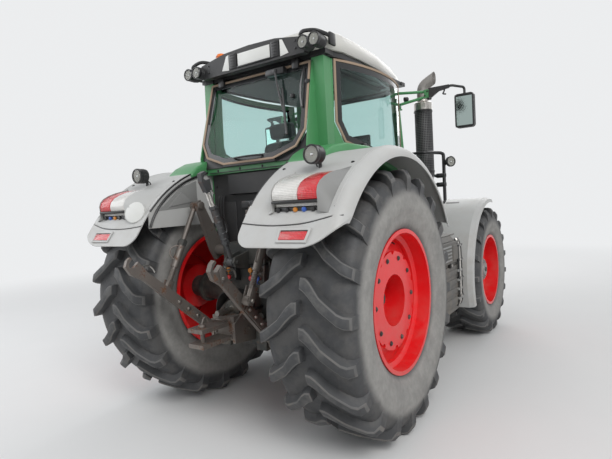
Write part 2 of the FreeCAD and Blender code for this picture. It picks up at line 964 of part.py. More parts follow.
def side_window_corners():
    """Seen from the side: level top, sloping front edge, rear corner cut back over the fender."""
    top, low = size("glass_top"), size("side_glass_low")
    return [
        (rear_axle - 105, top),
        (rear_axle - 95, 2500.0),
        (rear_axle - 190, 2330.0),
        (rear_axle - 560, 2235.0),
        (rear_axle - 1010, 1790.0),
        (rear_axle - 1120, low),
        (rear_axle - 1490, low),
        (rear_axle - 1455, top),
    ]


def grown(corners, edge):
    """The same outline moved outwards by an edge width, corner by corner."""
    spots = [FreeCAD.Vector(number(u), number(v), 0) for u, v in corners]
    moved = []
    for k, spot in enumerate(spots):
        before = (spot - spots[k - 1]).normalize()
        after = (spots[(k + 1) % len(spots)] - spot).normalize()
        out_before = FreeCAD.Vector(-before.y, before.x, 0)
        out_after = FreeCAD.Vector(-after.y, after.x, 0)
        lean = (out_before + out_after).normalize()
        moved.append(spot + lean * (number(edge) / lean.dot(out_before)))
    return [(spot.x, spot.y) for spot in moved]


def bowed_wall(side, inset, wall, low, top):
    """A stretch of upright tube wall, set in from the outer face of the bowed glass."""
    radius = number(size("side_bow"))
    reach = number(size("side_bow_reach"))
    centre = FreeCAD.Vector(side * (reach - radius), number(rear_axle - size("side_bow_place")), low)
    outer = Part.makeCylinder(radius - inset, top - low, centre)
    inner = Part.makeCylinder(radius - inset - wall, top - low, centre)
    return outer.cut(inner)


def side_panel(side, inset, wall, corners):
    """A bowed panel with the given outline seen from the side."""
    spots = [FreeCAD.Vector(0, number(u), number(v)) for u, v in corners]
    face = Part.Face(Part.makePolygon(spots + spots[:1]))
    prism = face.extrude(FreeCAD.Vector(side * 1000.0, 0, 0))
    heights = [spot.z for spot in spots]
    return prism.common(bowed_wall(side, inset, wall, min(heights) - 5, max(heights) + 5))


def hinge_line():
    """Where the side doors turn: on the outer face, just ahead of the glass."""
    return size("side_bow_reach") - 112, rear_axle - size("cab_front") + size("post_deep") / 2 + 10


HINGE_HEIGHTS = {"low": 1750.0, "high": 2780.0}


def door_knuckles(side):
    """The door's half of each hinge: a bored sleeve and a leaf that reaches its edge."""
    x, y = (number(amount) for amount in hinge_line())
    sleeve, pin = number(size("hinge_sleeve")), number(size("hinge_pin"))
    gap = number(size("running_gap"))
    whole = []
    for up in HINGE_HEIGHTS.values():
        low = up + 16 + gap
        leaf = Part.makeBox(26, 34, 44, FreeCAD.Vector(side * (x - 12) - 13, y, low))
        item = leaf.fuse(Part.makeCylinder(sleeve, 44, FreeCAD.Vector(side * x, y, low)))
        whole.append(item.cut(Part.makeCylinder(pin + gap, 44, FreeCAD.Vector(side * x, y, low))))
    return whole


def post_hinges(side):
    """The post's half of each hinge: a lug and an upright pin."""
    x, y = (number(amount) for amount in hinge_line())
    pin = number(size("hinge_pin"))
    behind, ahead = 5.0, 38.0
    items = []
    for up in HINGE_HEIGHTS.values():
        corner = FreeCAD.Vector(side * (x - 20) - 30, y - ahead, up)
        lug = Part.makeBox(60, ahead + behind, 16, corner)
        items.append(lug.fuse(Part.makeCylinder(pin, 60, FreeCAD.Vector(side * x, y, up))))
    return items


def side_windows():
    """Right window and left door: bowed panes hinged at the front, the door with a frame."""
    glass = number(size("glass_wall"))
    pane = side_window_corners()
    right = side_panel(-1, 0.0, glass, pane)
    for item in door_knuckles(-1):
        right = right.fuse(item)
    keep(feature("right_window", right), "right_window")
    keep(feature("left_door_glass", side_panel(1, 0.0, glass, pane)), "left_door_glass")
    frame = side_panel(1, glass, 28.0, grown(pane, -6.0)).cut(side_panel(1, 0.0, 120.0, grown(pane, -52.0)))
    for item in door_knuckles(1):
        frame = frame.fuse(item.cut(side_panel(1, -40.0, 40.0 + glass, pane)))
    keep(feature("left_door_frame", frame), "left_door_frame")


def post_shape(side):
    """A front post: leaning out to the waist and in again to the roof."""
    front = rear_axle - size("cab_front")
    foot = vector(side * 640, front, size("cab_floor") - size("cab_pan"))
    knee = vector(side * 660, front, 2300)
    head = vector(side * 625, front + 20, size("glass_top") + size("rail_gap"))
    lower = bar(foot, knee, size("post_wide"), size("post_deep"))
    return lower.fuse(bar(knee, head, size("post_wide"), size("post_deep")))


def cab_frame():
    """Posts, roof ring, floor, side walls and fire wall."""
    floor, pan = size("cab_floor"), size("cab_pan")
    top, rail = size("glass_top"), size("rail_tall")
    inner = size("cab_inner_half")
    front = rear_axle - size("cab_front")
    shelf = size("rear_tip") + size("fender_ring")
    items = [block("cab_floor_pan", -inner, rear_axle - 1500, floor - pan, inner * 2, 1650, pan)]
    items.append(block("cab_dash_wall", -395, rear_axle - 1560, floor - 60, 790, 60, 640))
    items.append(block("cab_front_sill", -610, front - 40, floor - 60, 1220, 60, 100))
    items.append(block("cab_rear_beam", -inner - 8, rear_axle + 130, size("back_beam_low"), inner * 2 + 16, 90,
                       size("back_beam_tall")))
    roof = top + size("rail_gap")
    for word, side in SIDES.items():
        items.append(feature(f"cab_front_post_{word}", post_shape(side)))
        back_foot = vector(side * 640, rear_axle - 10, shelf)
        back_head = vector(side * 630, rear_axle - 20, roof)
        rear_post = bar(back_foot, back_head, size("rear_post_wide"), 110)
        items.append(feature(f"cab_rear_post_{word}", rear_post))
        rail_start = vector(side * 650, rear_axle - 1560, roof)
        side_rail = bar(rail_start, rail_start + vector(0, 0, rail), 150, 90)
        items.append(feature(f"cab_corner_{word}", side_rail))
        x = side * 640 - 75
        items.append(block(f"cab_rail_{word}", x, rear_axle - 1560, roof, 150, 1600, rail))
        wall_x = side * (inner + 5) - 6
        arch = slab(f"cab_wall_{word}", "side", wall_x, 12, [
            (rear_axle - 1010, floor - 60),
            (rear_axle - 1010, 1760.0),
            (rear_axle - 760, 2010.0),
            (rear_axle - 420, 2200.0),
            (rear_axle + 150, 2235.0),
            (rear_axle + 150, floor - 60),
        ])
        items.append(arch)
        sill_x = side * 600 - 60
        items.append(block(f"cab_sill_{word}", sill_x, rear_axle - 1500, floor - pan, 120, 480, pan))
        shelf_x = side * 622 - 75
        items.append(block(f"cab_shelf_{word}", shelf_x, rear_axle - 100, shelf, 150, 250, 26))
        for k, lug in enumerate(post_hinges(side)):
            items.append(feature(f"cab_hinge_{word}_{k}", lug))
    items.append(block("cab_head_front", -640, rear_axle - 1600, roof, 1280, 80, rail))
    items.append(block("cab_head_rear", -640, rear_axle - 60, roof, 1280, 80, rail))
    keep(fuse("cab_frame", items), "cab_frame")


def rear_bulkhead():
    """The wall behind the seat below the rear glass, with a louvred vent."""
    floor, low = size("cab_floor"), size("back_beam_low")
    half = size("cab_inner_half") - 1.5
    wall = block("bulkhead_wall", -half, rear_axle + 120, floor, half * 2, 30, low - floor)
    vent = slab("bulkhead_vent", "side", -300, 600, [
        (rear_axle + 150, low - 200),
        (rear_axle + 200, low - 190),
        (rear_axle + 200, low - 12),
        (rear_axle + 150, low - 12),
    ])
    item = sketch(vent, "back", rear_axle + 200)
    count = 5
    for k in range(count):
        up = low - 178 + k * 32
        outline(item, [(270.0, up), (270.0, up + 18), (-270.0, up + 18), (-270.0, up)])
    pocket(vent, item, 24, turned=False)
    keep(fuse("bulkhead_whole", [wall, vent]), "rear_bulkhead")


def windscreen():
    """A bowed front glass, cut out over the hood."""
    glass, bulge = number(size("glass_wall")), number(size("screen_bulge"))
    low, top = number(size("screen_low")), number(size("glass_top"))
    half = number(size("screen_half"))
    start = number(rear_axle - size("cab_front") - size("post_deep") / 2 - size("running_gap"))
    bow = (bulge ** 2 + (half + 20) ** 2) / (2 * bulge)
    centre_y = start - bulge + bow
    centre = FreeCAD.Vector(0, centre_y, low)
    wall = Part.makeCylinder(bow, top - low, centre).cut(Part.makeCylinder(bow - glass, top - low, centre))
    corners = [
        (-half - 20, low),
        (-half, top),
        (half, top),
        (half + 20, low),
        (430.0, low),
        (430.0, 1830.0),
        (380.0, 2140.0),
        (-380.0, 2140.0),
        (-430.0, 1830.0),
        (-430.0, low),
    ]
    spots = [FreeCAD.Vector(u, start, v) for u, v in corners]
    prism = Part.Face(Part.makePolygon(spots + spots[:1])).extrude(FreeCAD.Vector(0, -bulge - 100, 0))
    keep(feature("windscreen", wall.common(prism)), "windscreen")


def rear_window():
    """A flat leaning pane, narrow at the foot, hinged at its top edge."""
    top, low = number(size("back_glass_top")), number(size("back_glass_low"))
    lean, half = number(size("back_glass_lean")), number(size("back_glass_half"))
    head_y = number(rear_axle) + 36
    wall = number(size("glass_wall"))

    def spot(u, z):
        return FreeCAD.Vector(u, head_y + (top - z) / (top - low) * lean, z)

    corners = [
        spot(half, top),
        spot(half + 22, 2430),
        spot(half - 60, 2290),
        spot(half * 0.5, low),
        spot(-half * 0.5, low),
        spot(60 - half, 2290),
        spot(-half - 22, 2430),
        spot(-half, top),
    ]
    pane = Part.Face(Part.makePolygon(corners + corners[:1])).extrude(FreeCAD.Vector(0, wall, 0))
    keep(feature("rear_window", pane), "rear_window")


ROOF_CORNERS = [
    # share of the half width, place, share of the inset pulled inwards and forwards
    (0.74, "rear", 0.0, 0.7, -1.00),
    (0.94, "rear", -110.0, 1.0, -0.85),
    (1.00, "axle", -170.0, 1.0, -0.60),
    (1.00, "axle", -480.0, 1.0, -0.30),
    (0.975, "axle", -900.0, 1.0, 0.00),
    (0.86, "axle", -1460.0, 1.0, 0.40),
    (0.77, "front", 120.0, 1.0, 0.70),
    (0.55, "front", 0.0, 0.7, 1.00),
]
ROOF_RINGS = [
    # share of the height, share of the inset
    (0.00, 0.05),
    (0.22, 0.00),
    (0.56, 0.12),
    (0.79, 0.42),
    (1.00, 1.00),
]


def roof():
    """A crowned shell of rings, the dark panel across its rear and the round lamps at the corners."""
    low = size("glass_top") + size("rail_gap") + size("rail_tall")
    tall, inset = size("roof_tall"), size("roof_inset")
    half = size("roof_half")
    starts = {"rear": rear_axle + size("roof_rear"), "axle": rear_axle, "front": rear_axle - size("roof_front")}

    def ring(shrink):
        right = []
        for share, start, ahead, inwards, forwards in ROOF_CORNERS:
            right.append((half * share - shrink * inwards, starts[start] + ahead + shrink * forwards))
        return right + [(-1 * u, v) for u, v in reversed(right)]

    stations = [(low + tall * up, ring(inset * share)) for up, share in ROOF_RINGS]
    crown = lofted("cab_roof", "top", stations)
    keep(crown, "cab_roof")
    wide, foot, rise = size("roof_panel_half"), size("roof_panel_low"), size("roof_panel_tall")
    face = starts["rear"] + 26
    panel = slab("roof_panel_plate", "back", face, 70, [
        (wide, foot),
        (wide + 10, foot + rise * 0.66),
        (wide * 0.5, foot + rise * 0.94),
        (0.0, foot + rise),
        (wide * -0.5, foot + rise * 0.94),
        (-wide - 10, foot + rise * 0.66),
        (-wide, foot),
    ])
    keep(cut("roof_panel_cut", panel, crown), "roof_rear_panel")
    lamps = []
    up, radius = size("roof_lamp_up"), size("roof_lamp")
    for word, side in SIDES.items():
        x = side * (wide + 75) - 90
        lamps.append(block(f"roof_lamp_bar_{word}", x, face - 40, up - 20, 180, 30, 40))
        for k in range(2):
            lamps.append(rod(f"roof_lamp_{word}_{k}", "y", side * (wide + 25 + k * (radius * 2 + 4)),
                             face - 60, up, radius, 110))
    whole = fuse("roof_lamps_whole", lamps)
    return cut("roof_lamps_cut", cut("roof_lamps_clear", whole, crown), panel)


def seat_and_console():
    place_y = rear_axle - size("seat_place")
    up, wide = size("seat_up"), size("seat_wide")
    floor = size("cab_floor")
    cushion = slab("seat_cushion", "side", -1 * wide / 2, wide, [
        (place_y - 260, up - 90),
        (place_y + 230, up - 120),
        (place_y + 300, up - 60),
        (place_y + 410, up + 560),
        (place_y + 330, up + 600),
        (place_y + 270, up + 540),
        (place_y + 190, up),
        (place_y - 230, up + 30),
        (place_y - 290, up - 20),
    ])
    keep(cushion, "seat")
    pedestal = slab("seat_pedestal", "side", -170, 340, [
        (place_y - 180, floor),
        (place_y - 120, up - 98.6 - size("running_gap")),
        (place_y + 170, up - 116.4 - size("running_gap")),
        (place_y + 240, floor),
    ])
    plinth = block("seat_plinth", -1 * wide / 2 - 190, place_y - 60, floor, 360, 260, 90)
    armrest = slab("seat_armrest", "side", -1 * wide / 2 - 190, 170, [
        (place_y - 330, up + 140),
        (place_y - 300, up + 210),
        (place_y + 150, up + 240),
        (place_y + 200, up - 100),
        (place_y + 200, floor),
        (place_y - 20, floor),
        (place_y - 60, up - 60),
    ])
    keep(fuse("seat_stand", [pedestal, plinth, armrest]), "seat_base")
    column_y = rear_axle - 1300
    column = slab("column_body", "side", -70, 140, [
        (column_y - 100, floor),
        (column_y - 40, 2130.0),
        (column_y + 40, 2170.0),
        (column_y + 90, 2060.0),
        (column_y + 70, floor),
    ])
    radius, grip = number(size("wheel_ring")), number(size("wheel_grip"))
    rim_corners = [FreeCAD.Vector(radius + grip * math.cos(math.radians(a)), 0, grip * math.sin(math.radians(a)))
                   for a in range(0, 360, 60)]
    ring = feature("column_wheel", turned(rim_corners, FreeCAD.Vector(), 360.0, FreeCAD.Vector(0, 0, 1)))
    lean = FreeCAD.Rotation(FreeCAD.Vector(1, 0, 0), -28)
    ring.Placement = FreeCAD.Placement(FreeCAD.Vector(), lean)
    place(ring, 0, column_y + 60, 2215)
    spoke = Part.makeBox(390, 44, 16, FreeCAD.Vector(-195, -22, -8))
    hub = Part.makeCylinder(38, 90, FreeCAD.Vector(0, 0, -76))
    spokes = feature("column_spokes", spoke.fuse(hub))
    spokes.Placement = FreeCAD.Placement(FreeCAD.Vector(), lean)
    place(spokes, 0, column_y + 60, 2215)
    keep(fuse("steering_column", [column, ring, spokes]), "steering_column")


# Rear fenders with their inner walls

def corner_waste(origin, across, upwards, normal, radius, depth):
    """What a round corner leaves away: the corner of a square beyond a quarter arc, as a prism."""
    lead = origin + across * radius
    rise = origin + upwards * radius
    centre = origin + (across + upwards) * radius
    middle = centre - (across + upwards).normalize() * radius
    reach = (across + upwards) * -60
    edges = [
        Part.Arc(lead, middle, rise).toShape(),
        Part.LineSegment(rise, rise - across * 60).toShape(),
        Part.LineSegment(rise - across * 60, origin + reach).toShape(),
        Part.LineSegment(origin + reach, lead - upwards * 60).toShape(),
        Part.LineSegment(lead - upwards * 60, lead).toShape(),
    ]
    face = Part.Face(Part.Wire(edges))
    face.translate(normal * 40)
    return face.extrude(normal * -(depth + 40))


def rear_fenders():
    """Fenders in one sweep round the wheel, with a rolled outer edge, round lower corners, inner walls."""
    ring, skin = number(size("fender_ring")), number(size("fender_skin"))
    inner, outer = number(size("fender_inner")), number(size("fender_outer"))
    first, last = number(size("fender_front_angle")), number(size("fender_rear_angle"))
    apron, roll = number(size("fender_apron")), number(size("fender_roll"))
    centre = vector(0, rear_axle, size("rear_tip"))

    def radial(angle):
        turn = math.radians(angle)
        return FreeCAD.Vector(0, math.cos(turn), math.sin(turn))

    start = centre + radial(first) * ring
    middle = centre + radial((first + last) / 2) * ring
    end = centre + radial(last) * ring
    down = FreeCAD.Vector(0, math.sin(math.radians(last)), -math.cos(math.radians(last)))
    path = Part.Wire([
        Part.Arc(start, middle, end).toShape(),
        Part.LineSegment(end, end + down * apron).toShape(),
    ])
    for word, side in SIDES.items():
        along = FreeCAD.Vector(side, 0, 0)

        def spot(u, v):
            return start + along * u + radial(first) * v

        def bend(radius):
            turn = radius * math.sqrt(0.5)
            return [spot(outer - roll, radius - roll), spot(outer - roll + turn, turn - roll),
                    spot(outer - roll + radius, -roll)]

        outside, inside = bend(roll), bend(roll - skin)
        section = Part.Wire([
            Part.LineSegment(spot(inner, 0), outside[0]).toShape(),
            Part.Arc(*outside).toShape(),
            Part.LineSegment(outside[2], inside[2]).toShape(),
            Part.Arc(*reversed(inside)).toShape(),
            Part.LineSegment(inside[0], spot(inner, -skin)).toShape(),
            Part.LineSegment(spot(inner, -skin), spot(inner, 0)).toShape(),
        ])
        shell = path.makePipeShell([section], True, False)
        foot = end + down * apron
        for x, radius, way in ((outer, number(size("fender_corner")), -1),
                               (inner, number(size("fender_inner_corner")), 1)):
            waste = corner_waste(foot + along * x, along * way, down * -1, radial(last), radius, 260)
            shell = shell.cut(waste)
        wall_back = number(rear_axle) + 905
        wall_low = 1690.0
        arc_ring = Part.makeCylinder(ring - skin / 2, 12, centre + along * (inner + (0 if side > 0 else 12)),
                                     FreeCAD.Vector(1, 0, 0))
        window = Part.makeBox(12, wall_back - number(rear_axle) - 155, 800,
                              FreeCAD.Vector(side * inner - (0 if side > 0 else 12), number(rear_axle) + 155,
                                             wall_low))
        wall = arc_ring.common(window)
        item = feature(f"rear_fender_{word}", shell.fuse(wall))
        keep(item, f"rear_fender_{word}")


# Hood: a shell that lifts at the nose, with a grille below the lamps

def hood_ring(half, waist, low, middle, crown, shrink=0.0):
    right = [
        (half - shrink, low),
        (waist - shrink, middle),
        (waist * 0.86 - shrink, crown - 90 - shrink),
        (waist * 0.55, crown - 12 - shrink),
    ]
    return right + [(-1 * u, v) for u, v in reversed(right)]


def hood():
    rear, nose = rear_axle - size("hood_rear"), rear_axle - size("hood_nose")
    low, half = size("hood_low"), size("hood_half")
    waist, belt = size("hood_waist_half"), size("hood_waist")
    crown, front_crown = size("hood_crown"), size("hood_nose_crown")
    skin = size("hood_skin")
    middle = rear - 1250

    def stations(shrink, grow):
        return [
            (rear + grow, hood_ring(half, waist, low - grow * 2, belt, crown, shrink)),
            (middle, hood_ring(half * 0.99, waist * 0.97, low - grow * 2, belt - 20, crown - 75, shrink)),
            (nose + 260 + grow * 0, hood_ring(half * 0.94, waist * 0.86, low - grow * 2, belt - 90,
                                              front_crown + 70, shrink)),
            (nose + shrink, hood_ring(half * 0.86, waist * 0.74, low - grow * 2, belt - 130,
                                      front_crown - 40, shrink)),
        ]

    outer = lofted("hood_outer", "back", stations(0.0 * skin, 0.0 * skin))
    inner = lofted("hood_inner", "back", stations(skin, skin))
    shell = cut("hood_cover", outer, inner)
    deep, base = size("nose_deep"), size("nose_low")
    wide = size("nose_half")
    cheeks = []
    for word, side in SIDES.items():
        cheeks.append(slab(f"hood_cheek_{word}", "side", side * wide - skin / 2, skin, [
            (nose + 20, base + 40),
            (nose + 40, base),
            (nose + deep - 20, base),
            (nose + deep, base + 60),
            (nose + deep, low + 20),
            (nose + 2, low + 20),
        ]))
    pivot_y, pivot_z = hood_pivot()
    lugs = []
    for word, side in SIDES.items():
        lugs.append(slab(f"hood_lug_{word}", "side", side * 130 - 8, 16, [
            (pivot_y - 26, pivot_z - 20),
            (pivot_y - 34, crown - 24),
            (pivot_y + 34, crown - 24),
            (pivot_y + 26, pivot_z - 20),
        ], [(pivot_y, pivot_z, size("hood_pin") + size("running_gap"))]))
    keep(fuse("hood_shell", [shell] + cheeks + lugs), "hood_shell")
    sides = side_grilles(lofted("hood_grille_skin", "back", stations(skin * -0.5, 0.0 * skin)), outer, rear)
    keep(fuse("hood_grilles", [grille(nose, base, low, wide, skin), sides]), "hood_grille")
    keep(headlamps(nose, low, wide), "headlamps")


def grille(nose, base, low, wide, skin):
    """Upright nose grille: a frame with level slats."""
    tall = low - base
    half = wide - skin / 2
    start = nose + 46
    frame = slab("grille_frame", "back", start, 26, [
        (half, base + 10),
        (half, low),
        (-1 * half, low),
        (-1 * half, base + 10),
    ])
    window = sketch(frame, "back", start)
    outline(window, [
        (half - 30, base + 40),
        (half - 30, low - 120),
        (30 - half, low - 120),
        (30 - half, base + 40),
    ])
    pocket(frame, window, 60, turned=False)
    slats = [frame]
    count = 9
    for k in range(count):
        up = base + 40 + (tall - 160) / count * (k + 0.5) - 5
        slats.append(block(f"grille_slat_{k}", 25 - half, start - 22, up, (half - 25) * 2, 16, 10))
    return fuse("grille_whole", slats)


def side_grilles(skin, cover, rear):
    """Louvred panels that lie on the hood's sides."""
    low, tall, long = size("side_grille_low"), size("side_grille_tall"), size("side_grille_long")
    start = rear - 180
    count = 6
    pitch = tall / count
    frame = slab("side_grille_frame", "side", -600, 1200, [
        (start, low),
        (start - 40, low + tall),
        (start - long, low + tall - 30),
        (start - long, low + 20),
    ])
    for k in range(count - 1):
        slot = sketch(frame, "side", -600)
        up = low + pitch * (k + 0.75) + 10
        outline(slot, [
            (start - 50, up),
            (start - 50, up + pitch * 0.4),
            (start - long + 30, up + pitch * 0.4),
            (start - long + 30, up),
        ])
        pocket(frame, slot, 1200, turned=True)
    plate = doc.addObject("Part::MultiCommon", "side_grille_plate")
    plate.Shapes = [skin, frame]
    return cut("side_grille_cut", plate, cover)


def headlamps(nose, low, wide):
    """Two wedge lamps above the nose grille."""
    tall = size("headlamp_tall")
    lamps = []
    for word, side in SIDES.items():
        x = side * (wide * 0.5 + 2) - 100
        lamps.append(slab(f"headlamp_{word}", "side", x, 200, [
            (nose + 20, low - 14 - tall),
            (nose + 20, low - 14),
            (nose + 12, low - 16),
            (nose - 8, low - 30),
            (nose - 2, low - 10 - tall),
        ]))
    return fuse("headlamps_whole", lamps)


# Tank, side box, steps and exhaust

def side_boxes():
    inner, outer = size("box_inner"), size("box_outer")
    rear, front = rear_axle - size("box_rear"), rear_axle - size("box_front")
    low, high = size("box_low"), size("cab_floor") - size("cab_pan")
    corners = [
        (rear, low + 80),
        (rear, high),
        (front + 190, high),
        (front, high - 240),
        (front, low + 120),
        (front + 90, low),
        (rear - 60, low),
    ]
    bevel = size("box_bevel")
    face = grown(corners[::-1], -1 * bevel)[::-1]
    keep(lofted("right_tool_box", "side", [(-outer, face), (bevel - outer, corners), (-inner, corners)]),
         "right_tool_box")
    back = outer - size("step_deep")
    keep(lofted("fuel_tank", "side", [(inner, corners), (back - bevel, corners), (back, face)]), "fuel_tank")
    steps = []
    count = 4
    first = low + 10
    rise = (high - low - 40) / (count - 1)
    for k in range(count):
        up = first + rise * k
        lead = outer + 40 - 26 * k
        steps.append(block(f"step_tread_{k}", back, rear - 560, up, lead - back, 420, 26))
    for name, y in (("step_side_rear", rear - 152), ("step_side_front", rear - 572)):
        steps.append(slab(name, "back", y + 12, 12, [
            (back, low - 10),
            (outer + 46, low - 10),
            (outer + 46, low + 50),
            (outer - 40, high),
            (back, high),
        ]))
    keep(fuse("cab_steps", steps), "cab_steps")


def exhaust():
    """Upright silencer in its shield, with a swan neck on top."""
    x, y = -1 * size("stack_side"), rear_axle - size("stack_place")
    low, high = size("stack_low"), size("stack_high")
    shield, pipe = size("stack_shield"), size("stack_pipe")
    owner = body("exhaust_stack")
    item = sketch(owner, "back")
    outline(item, [
        (0.0, low),
        (pipe, low),
        (shield - 12, low + 60),
        (shield - 12, low + 560),
        (shield, low + 580),
        (shield, high - 60),
        (shield - 30, high),
        (pipe, high + 10),
        (pipe, high + 60),
        (0.0, high + 60),
    ])
    revolve(owner, item, "V_Axis")
    place(owner, x, y, 0.0)
    neck = tube([
        vector(x, y, high + 50),
        vector(x, y, high + 150),
        vector(x - 190, y - 40, high + 290),
    ], pipe, 150.0)
    beyond = Part.makeBox(200, 300, 400, vector(x - 330, y - 200, high + 50))
    parts = [owner, feature("stack_neck", neck.cut(beyond))]
    bracket = block("stack_bracket", x + pipe, y - 30, low + 20,
                    size("stack_side") - pipe - size("engine_half_high"), 60, 40)
    parts.append(bracket)
    keep(fuse("exhaust_whole", parts), "exhaust_stack")


def mirror_frame(word, side, block_x, front):
    """Two tubes from the post that meet in a block."""
    up, radius = size("glass_top") - size("mirror_arm_drop"), number(size("rail_tube"))
    end = vector(side * block_x, front - 70, up)
    whole = Part.makeBox(46, 60, 86, end - FreeCAD.Vector(23, 30, 43))
    for start, reach in ((48.0, 24.0), (-82.0, -26.0)):
        foot = vector(side * 655, front, up + start)
        head = end + FreeCAD.Vector(0, 0, reach)
        whole = whole.fuse(Part.makeCylinder(radius, (head - foot).Length, foot, head - foot))
    return feature(f"mirror_frame_{word}", whole.cut(post_shape(side)))


def mirrors_and_rails():
    front = rear_axle - size("cab_front")
    radius = size("rail_tube")
    block_x = 965.0
    frames = []
    for word, side in SIDES.items():
        frames.append(mirror_frame(word, side, block_x, front))
        y = rear_axle - size("mirror_place")
        up, reach = size("mirror_up"), size("mirror_side")
        high = size("glass_top") - size("mirror_arm_drop") + 42
        plate = [
            vector(side * (block_x + 23), front - 84, high - 102),
            vector(side * (block_x + 23), front - 84, high + 16),
            vector(side * (block_x + 240), front - 84, high + 15),
            vector(side * (block_x + 240), front - 84, high - 18),
            vector(side * (block_x + 130), front - 84, high - 34),
        ]
        arm = Part.Face(Part.makePolygon(plate + plate[:1])).extrude(FreeCAD.Vector(0, 28, 0))
        tail = tube([
            vector(side * (block_x + 225), front - 70, high + 1),
            vector(side * (block_x + 270), front - 70, high + 1),
            vector(side * reach, y, high + 1),
            vector(side * reach, y, up),
        ], radius - 2, 30.0)
        wide, tall = number(size("mirror_wide")), number(size("mirror_tall"))
        head = Part.makeBox(wide, 62, tall, vector(side * reach - wide / 2, y - 30, up - tall / 2))
        upright = [edge for edge in head.Edges if abs(edge.tangentAt(edge.FirstParameter).z) < 0.5
                   and abs(edge.tangentAt(edge.FirstParameter).y) > 0.5]
        head = head.makeFillet(34.0, upright)
        whole = arm.fuse([tail, head])
        keep(feature(f"{word}_mirror", whole), f"{word}_mirror")
    keep(fuse("mirror_frames", frames), "mirror_frames")
    rail = tube([
        vector(-680, front, 2300),
        vector(-940, front, 2300),
        vector(-1060, rear_axle - 1790, 2300),
        vector(-1060, rear_axle - 1790, 1740),
        vector(-940, front, 1740),
        vector(-660, front, 1740),
    ], radius, 50.0)
    keep(feature("right_handrail", rail.cut(post_shape(-1))), "right_handrail")


def lamps(roof_lamps):
    """Tail lamps set on the fenders, round work lamps on stalks above them, and the beacon."""
    inner, outer = size("tail_inner"), size("tail_outer")
    low, high = size("tail_low"), size("tail_high")
    ring, tip = number(size("fender_ring")), number(size("rear_tip"))
    low_back = math.sqrt(ring ** 2 - (number(low) - tip) ** 2)
    high_back = math.sqrt(ring ** 2 - (number(high) - tip) ** 2)
    stalks = []
    for word, side in SIDES.items():
        wide = outer - inner
        x = side * (inner + outer) / 2 - wide / 2
        lamp = slab(f"tail_block_{word}", "side", x, wide, [
            (rear_axle + low_back - 60, low - 78),
            (rear_axle + low_back + 66, low - 70),
            (rear_axle + low_back + 66, low - 40),
            (rear_axle + low_back + 40, low - 38),
            (rear_axle + low_back + 40, low - 12),
            (rear_axle + low_back + 82, low - 10),
            (rear_axle + low_back + 86, low + 4),
            (rear_axle + low_back + 66, low + 80),
            (rear_axle + high_back + 66, high - 44),
            (rear_axle + high_back + 12, high),
            (rear_axle + high_back - 60, high - 10),
        ])
        skin = rod(f"tail_skin_{word}", "x", x - 10, rear_axle, size("rear_tip"), size("fender_ring"), wide + 20)
        keep(cut(f"tail_cut_{word}", lamp, skin), f"tail_lamp_{word}")
        radius, up = size("work_lamp"), size("work_lamp_up")
        middle = side * 955.0
        place_y = 590.0
        foot = tip + math.sqrt(ring ** 2 - place_y ** 2)
        post = rod(f"work_post_{word}", "z", middle, rear_axle + place_y, foot - 12, 13, up - foot + 12)
        drum = rod(f"work_drum_{word}", "y", middle, rear_axle + place_y + 20, up, radius, 78)
        yoke = block(f"work_yoke_{word}", middle - 16, rear_axle + place_y - 10, up - 22, 32, 40, 44)
        lamp_whole = fuse(f"work_lamp_{word}", [post, drum, yoke])
        clear = rod(f"work_clear_{word}", "x", middle - 90, rear_axle, size("rear_tip"), size("fender_ring"), 180)
        stalks.append(cut(f"work_cut_{word}", lamp_whole, clear))
    keep(fuse("work_lamps", stalks + [roof_lamps]), "work_lamps")
    dome = doc.addObject("Part::Cone", "beacon_dome")
    bind(dome, "Radius1", 62)
    bind(dome, "Radius2", 48)
    bind(dome, "Height", 130)
    top = size("glass_top") + size("rail_gap") + size("rail_tall") + size("roof_tall") * 0.60
    place(dome, size("beacon_side"), rear_axle - size("beacon_place"), top - 20)
    keep(cut("beacon_cut", dome, pieces["cab_roof"]), "beacon")


# Rear linkage

def lower_links():
    """Draft links with hook ends, raised high; each turns on its own pin."""
    long, deep, thick = size("link_long"), size("link_deep"), size("link_thick")
    pin, gap = size("link_pin"), size("running_gap")
    claw = size("claw_gap")
    corners = [
        (-42.0, -42.0),
        (42.0, -42.0),
        (long * 0.35, deep * -0.5),
        (long * 0.62, deep * -0.5),
        (long - 150, deep * -0.42),
        (long - 40, -62.0),
        (long + 34, -40.0),
        (long + 52, 10.0),
        (long + 46, 44.0),
        (long + 24, 44.0),
        (long + claw / 2, 0.0),
        (long, -26.0),
        (long - claw / 2, 0.0),
        (long - 30, 58.0),
        (long - 150, deep * 0.42),
        (long * 0.62, deep * 0.5),
        (long * 0.35, deep * 0.5),
        (42.0, 42.0),
        (-42.0, 42.0),
    ]
    for word, side in SIDES.items():
        name = f"lower_link_{word}"
        owner = slab(name, "side", thick * -0.5, thick, corners, [(0.0, 0.0, pin + gap * 10)])
        splay = math.degrees(math.atan2(number(size("link_splay")), number(long)))
        swing = FreeCAD.Rotation(FreeCAD.Vector(1, 0, 0), number(size("link_raised")))
        yaw = FreeCAD.Rotation(FreeCAD.Vector(0, 0, 1), -side * splay)
        owner.Placement = FreeCAD.Placement(FreeCAD.Vector(), swing.multiply(yaw))
        place(owner, side * size("link_pivot_half"), rear_axle + size("link_pivot_back"),
              size("link_pivot_up"))
        keep(owner, name)


